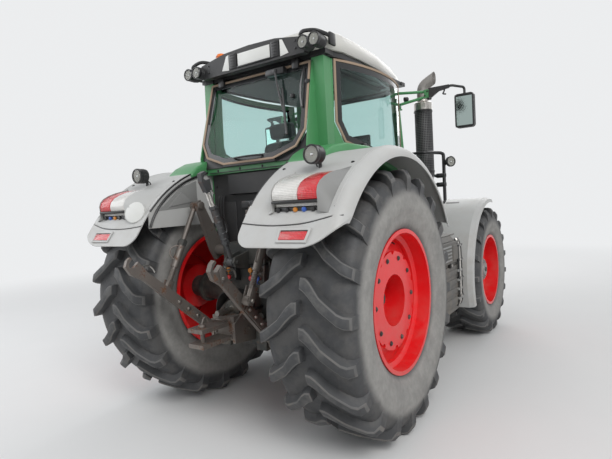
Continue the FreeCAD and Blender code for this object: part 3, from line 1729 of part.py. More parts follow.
def linkage_carrier():
    """Pins and brackets on the rear of the transmission for the links."""
    rear = rear_axle + size("case_rear")
    back, up = size("link_pivot_back"), size("link_pivot_up")
    half, thick = size("link_pivot_half"), size("link_thick")
    pin = size("link_pin")
    items = []
    for word, side in SIDES.items():
        inner = half - thick / 2 - 26
        near = size("hitch_half") + 32
        x = side * (inner + near) / 2 - (inner - near) / 2
        items.append(block(f"carrier_block_{word}", x, rear, up - 60, inner - near, 130, 240))
        start = inner - 20 if side > 0 else -1 * (half + thick + 20)
        items.append(rod(f"carrier_pin_{word}", "x", start, rear_axle + back, up, pin,
                         half + thick + 20 - inner + 20))
    rock = rock_up
    items.append(block("carrier_cover", -256, rear, up - 60, 512, 20, size("case_top") + 20 - up + 60))
    items.append(block("carrier_head", -230, rear_axle + 150, size("case_top"), 460, 240,
                       rock + 70 - size("case_top")))
    top_y, top_z = rear_axle + size("top_link_back"), top_link_up
    for word, side in SIDES.items():
        items.append(slab(f"carrier_ear_{word}", "side", side * 48 - 12, 24, [
            (rear_axle + 380, top_z - 80),
            (rear_axle + 380, top_z + 80),
            (top_y + 20, top_z + 40),
            (top_y + 40, top_z),
            (top_y + 20, top_z - 40),
        ]))
    items.append(rod("carrier_top_pin", "x", -75, top_y, top_z, size("top_link_pin"), 150))
    housing = size("stub_housing")
    items.append(rod("carrier_stub_shell", "y", 0, rear, size("stub_up"), 78, housing))
    whole = fuse("carrier_whole", items)
    rock_bore = rod("carrier_rock_bore", "x", -240, rear_axle + size("rock_back"), rock,
                    size("rock_bar") + size("running_gap"), 480)
    stub_bore = rod("carrier_stub_bore", "y", 0, rear - 5, size("stub_up"),
                    size("stub_journal") + size("running_gap"), housing + 20)
    keep(cut("carrier_bored", cut("carrier_rock_cut", whole, rock_bore), stub_bore), "linkage_carrier")


def rear_couplers():
    """Two banks of hydraulic couplers on the rear cover, beside the top link."""
    face = rear_axle + size("case_rear") + 20
    low = size("case_top") - 150
    items = []
    for word, side in SIDES.items():
        items.append(slab(f"coupler_bank_{word}", "side", side * 160 - 78, 156, [
            (face, low),
            (face + 70, low + 12),
            (face + 52, low + 140),
            (face, low + 150),
        ]))
        for k in range(4):
            x, up = side * (124 + 72 * (k % 2)), low + 40 + 66 * (k // 2)
            items.append(rod(f"coupler_{word}_{k}", "y", x, face + 30, up, size("coupler"), 70))
    keep(fuse("rear_couplers", items), "rear_couplers")


def lift_arms():
    pin, rock = size("lift_pin"), size("rock_bar")
    long, thick = size("lift_arm_long"), size("lift_arm_thick")
    half = size("lift_arm_half")
    corners = [
        (-72.0, -60.0),
        (40.0, -74.0),
        (long - 20, -40.0),
        (long + 40, -26.0),
        (long + 40, 26.0),
        (long - 20, 40.0),
        (40.0, 74.0),
        (-72.0, 60.0),
    ]
    swing = FreeCAD.Rotation(FreeCAD.Vector(1, 0, 0), number(size("lift_arm_raised")))
    plates = [rod("lift_shaft", "x", -1 * half - 10, 0.0, 0.0, rock, half * 2 + 20)]
    for word, side in SIDES.items():
        name = f"lift_arm_{word}"
        arm = slab(name + "_plate", "side", side * (half + thick / 2) - thick / 2, thick, corners)
        start = half + thick - 4 if side > 0 else -1 * (size("lift_rod_half") + 30)
        stud = rod(name + "_stud", "x", start, long, 0.0, pin,
                   size("lift_rod_half") + 30 - half - thick + 4)
        plates += [arm, stud]
    whole = fuse("lift_whole", plates)
    whole.Placement = FreeCAD.Placement(FreeCAD.Vector(), swing)
    place(whole, 0.0, rear_axle + size("rock_back"), rock_up)
    keep(whole, "lift_arms")


def lift_rods():
    long, pin, gap = size("lift_rod_long"), size("lift_pin"), size("running_gap")
    half, radius = size("lift_rod_half"), size("lift_rod")
    swing = FreeCAD.Rotation(FreeCAD.Vector(1, 0, 0), number(size("lift_rod_lean")))
    raised = size("lift_arm_raised")
    for word, side in SIDES.items():
        name = f"lift_rod_{word}"
        x = side * half
        shank = rod(name + "_shank", "y", x, 20.0, 0.0, radius, long - 40)
        sleeve = rod(name + "_sleeve", "y", x, long * 0.42, 0.0, radius + 10, long * 0.3)
        head = rod(name + "_head", "x", x - 24, 0.0, 0.0, pin + 22, 48)
        eye = rod(name + "_eye", "x", x - 24, long, 0.0, pin + 20, 48)
        whole = fuse(name + "_solid", [shank, sleeve, head, eye])
        hole = rod(name + "_hole", "x", x - 60, 0.0, 0.0, pin + gap, 120)
        item = cut(name, whole, hole)
        item.Placement = FreeCAD.Placement(FreeCAD.Vector(), swing)
        place(item, 0.0, rear_axle + size("rock_back") + size("lift_arm_long") * cosine(raised),
              rock_up + size("lift_arm_long") * sine(raised))
        keep(item, name)


def top_link():
    long, pin, gap = size("top_link_long"), size("top_link_pin"), size("running_gap")
    barrel = size("top_link_barrel")
    swing = FreeCAD.Rotation(FreeCAD.Vector(1, 0, 0), number(size("top_link_raised")))
    shank = rod("top_link_shank", "y", 0.0, 20.0, 0.0, barrel - 10, long - 60)
    sleeve = rod("top_link_sleeve", "y", 0.0, long * 0.22, 0.0, barrel, long * 0.42)
    head = rod("top_link_head", "x", -30, 0.0, 0.0, pin + 22, 60)
    hook = slab("top_link_hook", "side", -22, 44, [
        (long - 110, -30.0),
        (long - 20, -44.0),
        (long + 44, -26.0),
        (long + 48, 26.0),
        (long + 26, 34.0),
        (long + 20, 0.0),
        (long, -16.0),
        (long - 22, 2.0),
        (long - 24, 44.0),
        (long - 110, 30.0),
    ])
    whole = fuse("top_link_solid", [shank, sleeve, head, hook])
    hole = rod("top_link_hole", "x", -80, 0.0, 0.0, pin + gap, 160)
    item = cut("top_link_cut", whole, hole)
    item.Placement = FreeCAD.Placement(FreeCAD.Vector(), swing)
    place(item, 0.0, rear_axle + size("top_link_back"), top_link_up)
    keep(item, "top_link")


def hitch_and_stub():
    rear, reach = rear_axle + size("case_rear") + 20, rear_axle + size("hitch_reach")
    half, low = size("hitch_half"), size("jaw_low")
    gap, wall, pin = size("jaw_gap"), size("jaw_wall"), size("hitch_pin")
    items = []
    for word, side in SIDES.items():
        items.append(slab(f"hitch_rail_{word}", "side", side * half - 14, 28, [
            (rear, low - 40),
            (rear, low + 290),
            (rear + 60, low + 290),
            (rear + 340, low + 100),
            (rear + 340, low - 60),
            (rear + 60, low - 90),
        ]))
    start = rear + 240
    items.append(block("hitch_cross", -1 * half, start, low - 40, half * 2, 90, gap + 110))
    for name, z in (("hitch_jaw_low", low - wall), ("hitch_jaw_high", low + gap)):
        items.append(block(name, -80, start, z, 160, reach - start, wall))
    whole = fuse("hitch_whole", items)
    hole = rod("hitch_hole", "z", 0, reach - 75, low - 200, pin, 600)
    keep(cut("rear_hitch", whole, hole), "rear_hitch")
    start = rear + 0.5
    shoulder = rear_axle + size("case_rear") + size("stub_housing") + 2
    journal = rod("pto_journal", "y", 0, start, size("stub_up"), size("stub_journal"), shoulder - start)
    stub = rod("pto_stub", "y", 0, start, size("stub_up"), size("stub"),
               rear_axle + size("stub_reach") - start)
    keep(fuse("pto_whole", [journal, stub]), "pto_shaft")


# Build, check and write

wheels()
front_hubs()
backbone()
drive_shaft()
knuckles()
front_guards()
steering(axle_beam())
side_windows()
cab_frame()
rear_bulkhead()
windscreen()
rear_window()
roof_lamps = roof()
seat_and_console()
rear_fenders()
hood()
side_boxes()
exhaust()
mirrors_and_rails()
lamps(roof_lamps)
lower_links()
linkage_carrier()
rear_couplers()
lift_arms()
lift_rods()
top_link()
hitch_and_stub()
doc.recompute()

for item in doc.Objects:
    if "Invalid" in item.State or "Error" in item.State:
        raise RuntimeError(f"{item.Name} failed: {item.State}")
for name, item in pieces.items():
    if item.Shape.isNull() or not item.Shape.isValid():
        raise RuntimeError(f"{name} has no valid shape")
for name, item in pieces.items():
    item.Shape.exportStep(f"parts/{name}.step")
    print(name, len(item.Shape.Solids), round(item.Shape.Volume / 1e6, 2), "litres")
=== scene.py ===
import math

import bmesh
import bpy
from bpy.props import FloatProperty, FloatVectorProperty, IntProperty, PointerProperty
from mathutils import Matrix, Vector


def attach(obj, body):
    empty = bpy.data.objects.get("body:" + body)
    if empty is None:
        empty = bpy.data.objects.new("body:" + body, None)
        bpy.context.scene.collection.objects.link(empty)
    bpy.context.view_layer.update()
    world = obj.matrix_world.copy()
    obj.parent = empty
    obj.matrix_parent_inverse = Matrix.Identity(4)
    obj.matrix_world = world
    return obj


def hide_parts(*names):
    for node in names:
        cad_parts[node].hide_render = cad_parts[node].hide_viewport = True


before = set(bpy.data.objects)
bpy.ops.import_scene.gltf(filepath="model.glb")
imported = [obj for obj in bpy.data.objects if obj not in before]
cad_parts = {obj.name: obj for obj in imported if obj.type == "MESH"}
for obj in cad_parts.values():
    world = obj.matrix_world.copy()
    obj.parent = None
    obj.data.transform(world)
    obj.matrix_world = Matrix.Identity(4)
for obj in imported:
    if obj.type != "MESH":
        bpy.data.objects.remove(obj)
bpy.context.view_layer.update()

bl_info = {
    "name": "Farm Tractor",
    "version": (1, 0, 0),
    "blender": (4, 5, 0),
    "location": "View3D > Sidebar > Tractor",
    "description": "Dresses the packed tractor with its tyres, paint, lamps and fittings",
    "category": "Object",
}

# Places that the pieces share, in metres: +Z up, forward is -Y, the left side is +X and the right side -X
REAR_AXLE = 1.55
FRONT_AXLE = -1.5
REAR_HUB = 1.03
FRONT_HUB = 0.82
SIDES = {"left": 1, "right": -1}


# Finishes: procedural materials on object coordinates

DUST = (0.36, 0.31, 0.25)


class Finish:
    """One material under construction. Values may be numbers, colours or other nodes' outputs."""

    def __init__(self, name, **sockets):
        self.material = bpy.data.materials.new(name)
        self.material.use_nodes = True
        self.nodes = self.material.node_tree.nodes
        self.links = self.material.node_tree.links
        self.shader = self.nodes["Principled BSDF"]
        self.place = self.nodes.new("ShaderNodeTexCoord").outputs["Object"]
        for socket, value in sockets.items():
            self.put(self.shader, socket.replace("_", " ").title().replace("Ior", "IOR"), value)

    def put(self, node, socket, value):
        target = node.inputs[socket]
        if isinstance(value, bpy.types.NodeSocket):
            self.links.new(value, target)
        elif isinstance(value, (tuple, list)) and target.type == "RGBA":
            target.default_value = (*value[:3], 1.0)
        else:
            target.default_value = value

    def node(self, kind, out, inputs, **settings):
        made = self.nodes.new("ShaderNode" + kind)
        for key, value in settings.items():
            setattr(made, key, value)
        for socket, value in inputs.items():
            self.put(made, socket, value)
        return made.outputs[out]

    def noise(self, scale, detail=3.0, rough=0.55):
        return self.node("TexNoise", "Fac", {"Vector": self.place, "Scale": scale, "Detail": detail,
                                             "Roughness": rough})

    def spots(self, scale):
        return self.node("TexVoronoi", "Distance", {"Vector": self.place, "Scale": scale})

    def sum(self, a, b, how="ADD"):
        return self.node("Math", 0, {0: a, 1: b}, operation=how)

    def span(self, value, low, high, to_low=0.0, to_high=1.0):
        return self.node("MapRange", 0, {"Value": value, "From Min": low, "From Max": high,
                                         "To Min": to_low, "To Max": to_high}, interpolation_type="SMOOTHSTEP")

    def mix(self, fac, a, b):
        made = self.nodes.new("ShaderNodeMix")
        made.data_type = "RGBA"
        for socket, value in ((0, fac), (6, a), (7, b)):
            self.put(made, socket, value)
        return made.outputs[2]

    def axes(self, place=None):
        made = self.nodes.new("ShaderNodeSeparateXYZ")
        self.links.new(self.place if place is None else place, made.inputs[0])
        return made.outputs

    def moved(self, location):
        return self.node("Mapping", 0, {"Vector": self.place, "Location": location})

    def bump(self, height, distance, strength=1.0, under=None):
        inputs = {"Height": height, "Distance": distance, "Strength": strength}
        if under is not None:
            inputs["Normal"] = under
        return self.node("Bump", 0, inputs)

    def done(self, colour=None, rough=None, normal=None):
        for socket, value in (("Base Color", colour), ("Roughness", rough), ("Normal", normal)):
            if value is not None:
                self.put(self.shader, socket, value)
        return self.material


def shade(colour, factor):
    return tuple(min(channel * factor, 1.0) for channel in colour)


def weathered(name, colour, rough=0.45, metal=0.0, dust=0.3, grain=60.0, grain_deep=0.0003,
              change=0.12, dust_top=1.7, rust=0.0, black_above=None, **sockets):
    """A coat with patchy tone, dust that thickens towards the ground, fine grain and rust spots."""
    make = Finish(name, metallic=metal, **sockets)
    broad = make.noise(1.7, 4.0, 0.6)
    fine = make.noise(grain, 4.0, 0.6)
    base = make.mix(broad, shade(colour, 1.0 - change), shade(colour, 1.0 + change))
    height = make.axes()[2]
    low = make.span(height, dust_top, 0.15, 0.12, 1.0)
    patch = make.span(make.noise(5.0, 6.0, 0.65), 0.38, 0.72)
    film = make.sum(make.sum(low, patch, "MULTIPLY"), dust, "MULTIPLY")
    base = make.mix(film, base, DUST)
    coarse = make.span(film, 0.0, 0.5, rough, min(rough + 0.35, 0.95))
    if rust:
        spread = make.sum(make.noise(9.0, 8.0, 0.7), make.sum(make.noise(55.0, 3.0), 0.25, "MULTIPLY"))
        worn = make.sum(make.span(spread, 0.66, 0.80), rust, "MULTIPLY")
        base = make.mix(worn, base, (0.19, 0.085, 0.042))
        coarse = make.span(worn, 0.0, 0.6, rough, 0.9)
    if black_above:
        base = make.mix(make.span(height, black_above, black_above + 0.004), base, (0.016, 0.016, 0.017))
    return make.done(base, coarse, make.bump(fine, grain_deep))


def rubber(name, centre, radii, half):
    """Tyre rubber round its own wheel: pale dusty walls, darker tread with dust in its grooves."""
    bead, crown, tip = radii
    make = Finish(name, roughness=0.8)
    wheel = make.moved(tuple(-c for c in centre))
    x, y, z = make.axes(wheel)
    radius = make.sum(make.sum(make.sum(y, y, "MULTIPLY"), make.sum(z, z, "MULTIPLY")), 0.5, "POWER")
    side = make.sum(x, 0.0, "ABSOLUTE")
    blotch = make.noise(7.0, 6.0, 0.65)
    edge = make.sum(radius, make.sum(make.sum(blotch, 0.5, "SUBTRACT"), 0.10, "MULTIPLY"))
    wall = make.sum(make.span(edge, crown - 0.085, crown - 0.165),
                    make.span(side, half * 0.80, half * 0.90), "MULTIPLY")
    inner = make.span(radius, bead + 0.005, bead + 0.05, 0.45, 1.0)
    fog = make.sum(make.sum(wall, inner, "MULTIPLY"), make.span(blotch, 0.2, 0.75, 0.62, 1.0), "MULTIPLY")
    dark = make.mix(make.noise(24.0, 4.0), (0.034, 0.035, 0.037), (0.062, 0.063, 0.065))
    groove = make.sum(make.span(radius, crown + 0.03, crown - 0.01), make.span(blotch, 0.42, 0.62), "MULTIPLY")
    dark = make.mix(make.sum(groove, 0.30, "MULTIPLY"), dark, (0.13, 0.122, 0.112))
    worn = make.sum(make.span(radius, tip - 0.014, tip - 0.002), make.span(make.noise(13.0, 5.0), 0.4, 0.65),
                    "MULTIPLY")
    dark = make.mix(make.sum(worn, 0.45, "MULTIPLY"), dark, (0.135, 0.13, 0.122))
    pale = make.mix(make.noise(30.0, 5.0), (0.25, 0.242, 0.225), (0.36, 0.35, 0.33))
    colour = make.mix(fog, dark, pale)
    skin = make.bump(make.noise(160.0, 3.0), 0.0006)
    chips = make.bump(make.spots(38.0), 0.0012, 0.35, skin)
    return make.done(colour, make.span(fog, 0, 1, 0.62, 0.92), chips)


def glass(name, colour=(0.66, 0.82, 0.80), dirt=0.14):
    make = Finish(name, transmission_weight=1.0, ior=1.22, roughness=0.02)
    film = make.sum(make.span(make.noise(3.0, 6.0, 0.7), 0.45, 0.8), dirt, "MULTIPLY")
    return make.done(make.mix(film, colour, (0.75, 0.74, 0.7)), make.span(film, 0, 0.3, 0.02, 0.35),
                     make.bump(make.noise(0.9, 1.0), 0.002))


def perforated(name):
    """A heat shield with rows of round holes, drawn as near-black spots: painted shade inside the holes."""
    make = Finish(name, metallic=0.6, roughness=0.55)
    x, y, z = make.axes(make.moved((0.82, 0.33, 0)))
    angle = make.node("Math", 0, {0: y, 1: x}, operation="ARCTAN2")
    wrapped = make.node("CombineXYZ", 0, {"X": make.sum(angle, 0.1, "MULTIPLY"), "Y": z})
    hole = make.node("TexVoronoi", "Distance", {"Vector": wrapped, "Scale": 52.0, "Randomness": 0.0},
                     voronoi_dimensions="2D")
    # Painted shade: the holes are coloured near black
    hole_shade = make.span(hole, 0.36, 0.28)
    base = make.mix(make.noise(14.0, 5.0), (0.075, 0.076, 0.080), (0.13, 0.128, 0.125))
    return make.done(make.mix(hole_shade, base, (0.004, 0.004, 0.004)), None,
                     make.bump(hole_shade, -0.002))


def lens(name, colour, ribs=90.0):
    """A moulded lamp lens with small square prisms."""
    make = Finish(name, roughness=0.12, ior=1.49, coat_weight=0.5, coat_roughness=0.05)
    x, y, z = make.axes()
    waves = make.sum(make.node("Math", 0, {0: make.sum(x, ribs * 6.283, "MULTIPLY")}, operation="SINE"),
                     make.node("Math", 0, {0: make.sum(z, ribs * 6.283, "MULTIPLY")}, operation="SINE"))
    tone = make.mix(make.span(waves, -1.6, 1.6), shade(colour, 0.78), shade(colour, 1.1))
    tone = make.mix(make.sum(make.span(make.noise(18.0, 5.0), 0.5, 0.8), 0.3, "MULTIPLY"), tone, DUST)
    return make.done(tone, None, make.bump(waves, 0.0006))


def cloth(name, colour):
    make = Finish(name, roughness=0.95, sheen_weight=0.35, sheen_roughness=0.5)
    weave = make.node("TexWave", 1, {"Vector": make.place, "Scale": 260.0, "Distortion": 0.4}, bands_direction="X")
    cross = make.node("TexWave", 1, {"Vector": make.place, "Scale": 260.0, "Distortion": 0.4}, bands_direction="Z")
    thread = make.sum(weave, cross, "MULTIPLY")
    base = make.mix(thread, shade(colour, 0.6), shade(colour, 1.5))
    base = make.mix(make.sum(make.span(make.noise(4.0, 5.0), 0.45, 0.75), 0.25, "MULTIPLY"), base, DUST)
    return make.done(base, None, make.bump(thread, 0.0008))


def pale_stage(name, colour, backdrop):
    """A pale floor that shows the backdrop's own colour further out, so that no horizon line is seen."""
    make = Finish(name, roughness=0.9)
    make.done(make.mix(make.noise(2.0, 3.0), shade(colour, 0.985), shade(colour, 1.015)))
    x, y, z = make.axes()
    away = make.sum(make.sum(make.sum(x, x, "MULTIPLY"), make.sum(y, y, "MULTIPLY")), 0.5, "POWER")
    path = make.nodes.new("ShaderNodeLightPath")
    seen = make.sum(path.outputs["Is Camera Ray"], path.outputs["Is Glossy Ray"], "MAXIMUM")
    seen = make.sum(seen, path.outputs["Is Transmission Ray"], "MAXIMUM")
    plain = make.node("Emission", 0, {"Color": backdrop, "Strength": 1.0})
    share = make.sum(make.span(away, 4.5, 13.0), seen, "MULTIPLY")
    blend = make.node("MixShader", 0, {0: share, 1: make.shader.outputs[0], 2: plain})
    make.links.new(blend, make.nodes["Material Output"].inputs["Surface"])
    return make.material


FINISHES = {}


def make_finishes(paint):
    """Every finish, from the colours in the panel."""
    green, red, grey, cream = paint.cab_green[:], paint.rim_red[:], paint.fender_grey[:], paint.roof_cream[:]
    made = {
        "green": weathered("green_paint", green, 0.42, dust=0.22, grain=220, grain_deep=0.00008,
                           coat_weight=0.3, coat_roughness=0.30),
        "cab_green": weathered("cab_paint", green, 0.42, dust=0.22, grain=220, grain_deep=0.00008,
                               black_above=3.030, coat_weight=0.3, coat_roughness=0.30),
        "red": weathered("rim_paint", red, 0.34, dust=0.22, grain=180, grain_deep=0.0001, change=0.08,
                         coat_weight=0.25, coat_roughness=0.2),
        "fender": weathered("fender_moulding", grey, 0.5, dust=0.42, grain=420, grain_deep=0.00025, change=0.09,
                            dust_top=2.6),
        # A darker copy of the fender grey: painted shade on the rear fenders' facets and inner walls, and a plain mid
        # grey on the tool box
        "grey_and_painted_shade": weathered("fender_grey_and_painted_shade", shade(grey, 0.52), 0.55, dust=0.35, grain=420, grain_deep=0.0003),
        "roof": weathered("roof_moulding", cream, 0.42, dust=0.15, grain=300, grain_deep=0.0001, change=0.05),
        "black": weathered("black_moulding", (0.020, 0.020, 0.021), 0.5, dust=0.25, grain=350, grain_deep=0.0003),
        "satin": weathered("satin_black", (0.014, 0.014, 0.015), 0.32, dust=0.16, grain=200, grain_deep=0.0001),
        "cast": weathered("dark_casting", (0.045, 0.047, 0.045), 0.62, 0.25, dust=0.6, grain=90,
                          grain_deep=0.0012, rust=0.25),
        "engine": weathered("engine_casting", (0.05, 0.055, 0.052), 0.6, 0.2, dust=0.5, grain=70, grain_deep=0.0015),
        "steel": weathered("worn_steel", (0.17, 0.15, 0.135), 0.5, 0.55, dust=0.35, grain=120, grain_deep=0.0006,
                           rust=0.85, change=0.25),
        "bright": weathered("bright_steel", (0.52, 0.50, 0.47), 0.28, 0.95, dust=0.15, grain=160,
                            grain_deep=0.0002, rust=0.25),
        "barrel": weathered("dark_barrel", (0.06, 0.062, 0.065), 0.42, 0.3, dust=0.35, grain=120,
                            grain_deep=0.0004, rust=0.3),
        "hub": weathered("hub_paint", (0.26, 0.26, 0.25), 0.5, 0.2, dust=0.45, grain=120, grain_deep=0.0005,
                         rust=0.3),
        "seal": weathered("tan_seal", (0.33, 0.24, 0.17), 0.75, dust=0.2, grain=260, grain_deep=0.0003),
        "trim": weathered("cab_trim", (0.09, 0.088, 0.082), 0.65, dust=0.12, grain=500, grain_deep=0.0004),
        "box": weathered("box_moulding", (0.105, 0.10, 0.092), 0.6, dust=0.55, grain=260, grain_deep=0.0004,
                         change=0.16),
        "frit": weathered("printed_edge", (0.012, 0.013, 0.014), 0.25, dust=0.12),
        "worn_edge": weathered("worn_lug_edge", (0.115, 0.113, 0.110), 0.75, dust=0.25, grain=120, grain_deep=0.0008,
                               change=0.35),
        "reflector": weathered("lamp_bowl", (0.42, 0.41, 0.38), 0.30, 0.45, dust=0.2, grain=70, grain_deep=0.003),
        "neck": weathered("neck_metal", (0.25, 0.235, 0.22), 0.5, 0.4, dust=0.25, grain=90, grain_deep=0.0004,
                          rust=0.3),
        "shaft": weathered("shaft_metal", (0.24, 0.23, 0.21), 0.42, 0.8, dust=0.3, grain=160, grain_deep=0.0003,
                           rust=0.4),
        "screen": weathered("dark_display", (0.008, 0.009, 0.011), 0.08, dust=0.05),
        "plate": weathered("blank_plate", (0.66, 0.66, 0.63), 0.38, dust=0.22, grain=200, grain_deep=0.0001),
        "mirror": weathered("mirror_glass", (0.36, 0.43, 0.41), 0.03, 1.0, dust=0.0, change=0.03),
        "chrome": weathered("lamp_reflector", (0.80, 0.81, 0.82), 0.14, 0.9, dust=0.10, grain=40,
                            grain_deep=0.002),
        "amber": weathered("amber_cap", (0.55, 0.20, 0.02), 0.3, dust=0.15),
        "blue": weathered("blue_cap", (0.03, 0.10, 0.42), 0.3, dust=0.2),
        "stack": perforated("exhaust_shield"),
        "glass": glass("cab_glass"),
        "lamp_glass": glass("lamp_glass", (0.93, 0.94, 0.93), 0.05),
        "lens_red": lens("red_lens", (0.62, 0.012, 0.02)),
        "lens_white": lens("white_lens", (0.72, 0.70, 0.66)),
        "beacon": lens("orange_lens", (0.95, 0.20, 0.01), 60.0),
        "cloth": cloth("seat_cloth", (0.045, 0.045, 0.05)),
    }
    for end, size in TYRES.items():
        half = max(x for x, r in size["section"])
        crown = size["section"][-1][1]
        for word in SIDES:
            name = f"{end}_rubber_{word}"
            made[name] = rubber(name, wheel_centre(end, word), (size["bead"], crown, size["tip"]), half)
    FINISHES.update(made)


# Modelling with bmesh operators

def fresh():
    return bmesh.new()


def rounded(bm, width, segments=2, angle=25.0):
    """Bevel the edges that turn by more than an angle."""
    edges = [e for e in bm.edges if len(e.link_faces) == 2 and e.calc_face_angle() > math.radians(angle)]
    if edges and width > 0:
        bmesh.ops.bevel(bm, geom=edges, offset=width, segments=segments, profile=0.5, affect="EDGES",
                        material=-1, clamp_overlap=True)
    return bm


def cuboid(low, high, round_by=0.004, segments=2):
    bm = fresh()
    bmesh.ops.create_cube(bm, size=1.0)
    low, high = Vector(low), Vector(high)
    bmesh.ops.scale(bm, vec=high - low, verts=bm.verts)
    bmesh.ops.translate(bm, vec=(low + high) / 2, verts=bm.verts)
    return rounded(bm, round_by, segments)


def placed(bm, matrix):
    """Carry a shape from its own frame to its place."""
    bmesh.ops.transform(bm, matrix=matrix, verts=bm.verts)
    return bm


def swung(place, angle):
    """The frame of a part that is tilted about the X axis through a place."""
    return Matrix.Translation(place) @ Matrix.Rotation(math.radians(angle), 4, "X")


def facing(home, axis):
    """The turn that carries a home direction on to an axis."""
    return Vector(home).rotation_difference(Vector(axis)).to_matrix().to_4x4()


def moved_up(bm, out, shift):
    """Move the vertices that an operator has made."""
    bmesh.ops.translate(bm, vec=shift, verts=[v for v in out["geom"] if isinstance(v, bmesh.types.BMVert)])


# Turns from the Z axis that a drum is made on, and from the X axis that a profile is spun on
DRUM_TURNS = {"x": Matrix.Rotation(math.radians(90), 4, "Y"), "y": Matrix.Rotation(math.radians(-90), 4, "X"),
              "z": Matrix.Identity(4)}
SPIN_TURNS = {"x": Matrix.Identity(4), "y": Matrix.Rotation(math.radians(90), 4, "Z"),
              "z": Matrix.Rotation(math.radians(-90), 4, "Y")}


def drum(start, length, radius, axis="z", top=None, sides=32, round_by=0.003):
    """A round bar from a point along an axis, its end edges eased."""
    bm = fresh()
    end = radius if top is None else top
    bmesh.ops.create_cone(bm, cap_ends=True, segments=sides, radius1=radius, radius2=end, depth=length)
    bmesh.ops.translate(bm, vec=(0, 0, length / 2), verts=bm.verts)
    rounded(bm, round_by, 2, 50.0)
    turn = DRUM_TURNS[axis] if isinstance(axis, str) else facing((0, 0, 1), axis)
    return placed(bm, Matrix.Translation(start) @ turn)


def spun(profile, centre, axis="x", steps=96, closed=True):
    """A profile of (along, radius) pairs turned about an axis through a centre."""
    bm = fresh()
    points = [bm.verts.new((u, 0, r)) for u, r in profile]
    pairs = list(zip(points, points[1:])) + ([(points[-1], points[0])] if closed else [])
    for a, b in pairs:
        bm.edges.new((a, b))
    bmesh.ops.spin(bm, geom=bm.verts[:] + bm.edges[:], cent=(0, 0, 0), axis=(1, 0, 0), dvec=(0, 0, 0),
                   angle=math.tau, steps=steps, use_merge=True, use_duplicate=False)
    bmesh.ops.remove_doubles(bm, verts=bm.verts, dist=1e-5)
    return placed(bm, Matrix.Translation(centre) @ SPIN_TURNS[axis])


def extruded(corners, shift, round_by=0.004):
    """A flat outline of 3-D corners drawn out along a shift."""
    bm = fresh()
    face = bm.faces.new([bm.verts.new(c) for c in corners])
    moved_up(bm, bmesh.ops.extrude_face_region(bm, geom=[face]), shift)
    bmesh.ops.recalc_face_normals(bm, faces=bm.faces)
    return rounded(bm, round_by)


def side_plate(corners, x, wide, round_by=0.004):
    """A plate whose outline is given as (y, z), from x over a width."""
    return extruded([(x, y, z) for y, z in corners], (wide, 0, 0), round_by)


def piped(points, radius, sides=8, order=3, cap=True):
    """A round tube along a smooth line through control points."""
    curve = bpy.data.curves.new("line", "CURVE")
    curve.dimensions = "3D"
    curve.bevel_depth = radius
    curve.bevel_resolution = max(sides // 4 - 1, 1)
    curve.resolution_u = 8
    curve.use_fill_caps = cap
    line = curve.splines.new("NURBS")
    line.points.add(len(points) - 1)
    for spot, where in zip(line.points, points):
        spot.co = (*where, 1.0)
    line.order_u = min(order, len(points))
    line.use_endpoint_u = True
    holder = bpy.data.objects.new("line", curve)
    bpy.context.scene.collection.objects.link(holder)
    bpy.context.view_layer.update()
    mesh = bpy.data.meshes.new_from_object(holder.evaluated_get(bpy.context.evaluated_depsgraph_get()))
    bm = fresh()
    bm.from_mesh(mesh)
    bpy.data.objects.remove(holder)
    bpy.data.meshes.remove(mesh)
    bpy.data.curves.remove(curve)
    bmesh.ops.remove_doubles(bm, verts=bm.verts, dist=1e-6)
    return bm


def mirrored(bm):
    """The same shape on the other side of the tractor."""
    copy = bm.copy()
    bmesh.ops.scale(copy, vec=(-1, 1, 1), verts=copy.verts)
    bmesh.ops.reverse_faces(copy, faces=copy.faces)
    return copy


def turned(bm, angle, axis, centre=(0, 0, 0)):
    turn = Matrix.Rotation(math.radians(angle), 3, axis)
    bmesh.ops.rotate(bm, cent=centre, matrix=turn, verts=bm.verts)
    return bm


def bolt(where, axis="x", radius=0.012, tall=0.009):
    """A hexagon head on its washer."""
    bm = drum(where, tall * 0.25, radius * 1.35, axis, sides=16, round_by=0.0)
    head = drum(where, tall, radius, axis, sides=6, round_by=radius * 0.12)
    return joined([bm, head])


def bolt_ring(work, finish, centre, reach, count, size, out, start=0.0):
    """Bolts set evenly round an X axis through a centre, their heads facing out."""
    x, y, z = centre
    for k in range(count):
        turn = math.tau * (k + start) / count
        spot = (x, y + reach * math.sin(turn), z + reach * math.cos(turn))
        work.add(finish, bolt(spot, (out, 0, 0), *size))


def joined(parts):
    whole = parts[0]
    for part in parts[1:]:
        mesh = bpy.data.meshes.new("part")
        part.to_mesh(mesh)
        whole.from_mesh(mesh)
        bpy.data.meshes.remove(mesh)
        part.free()
    return whole


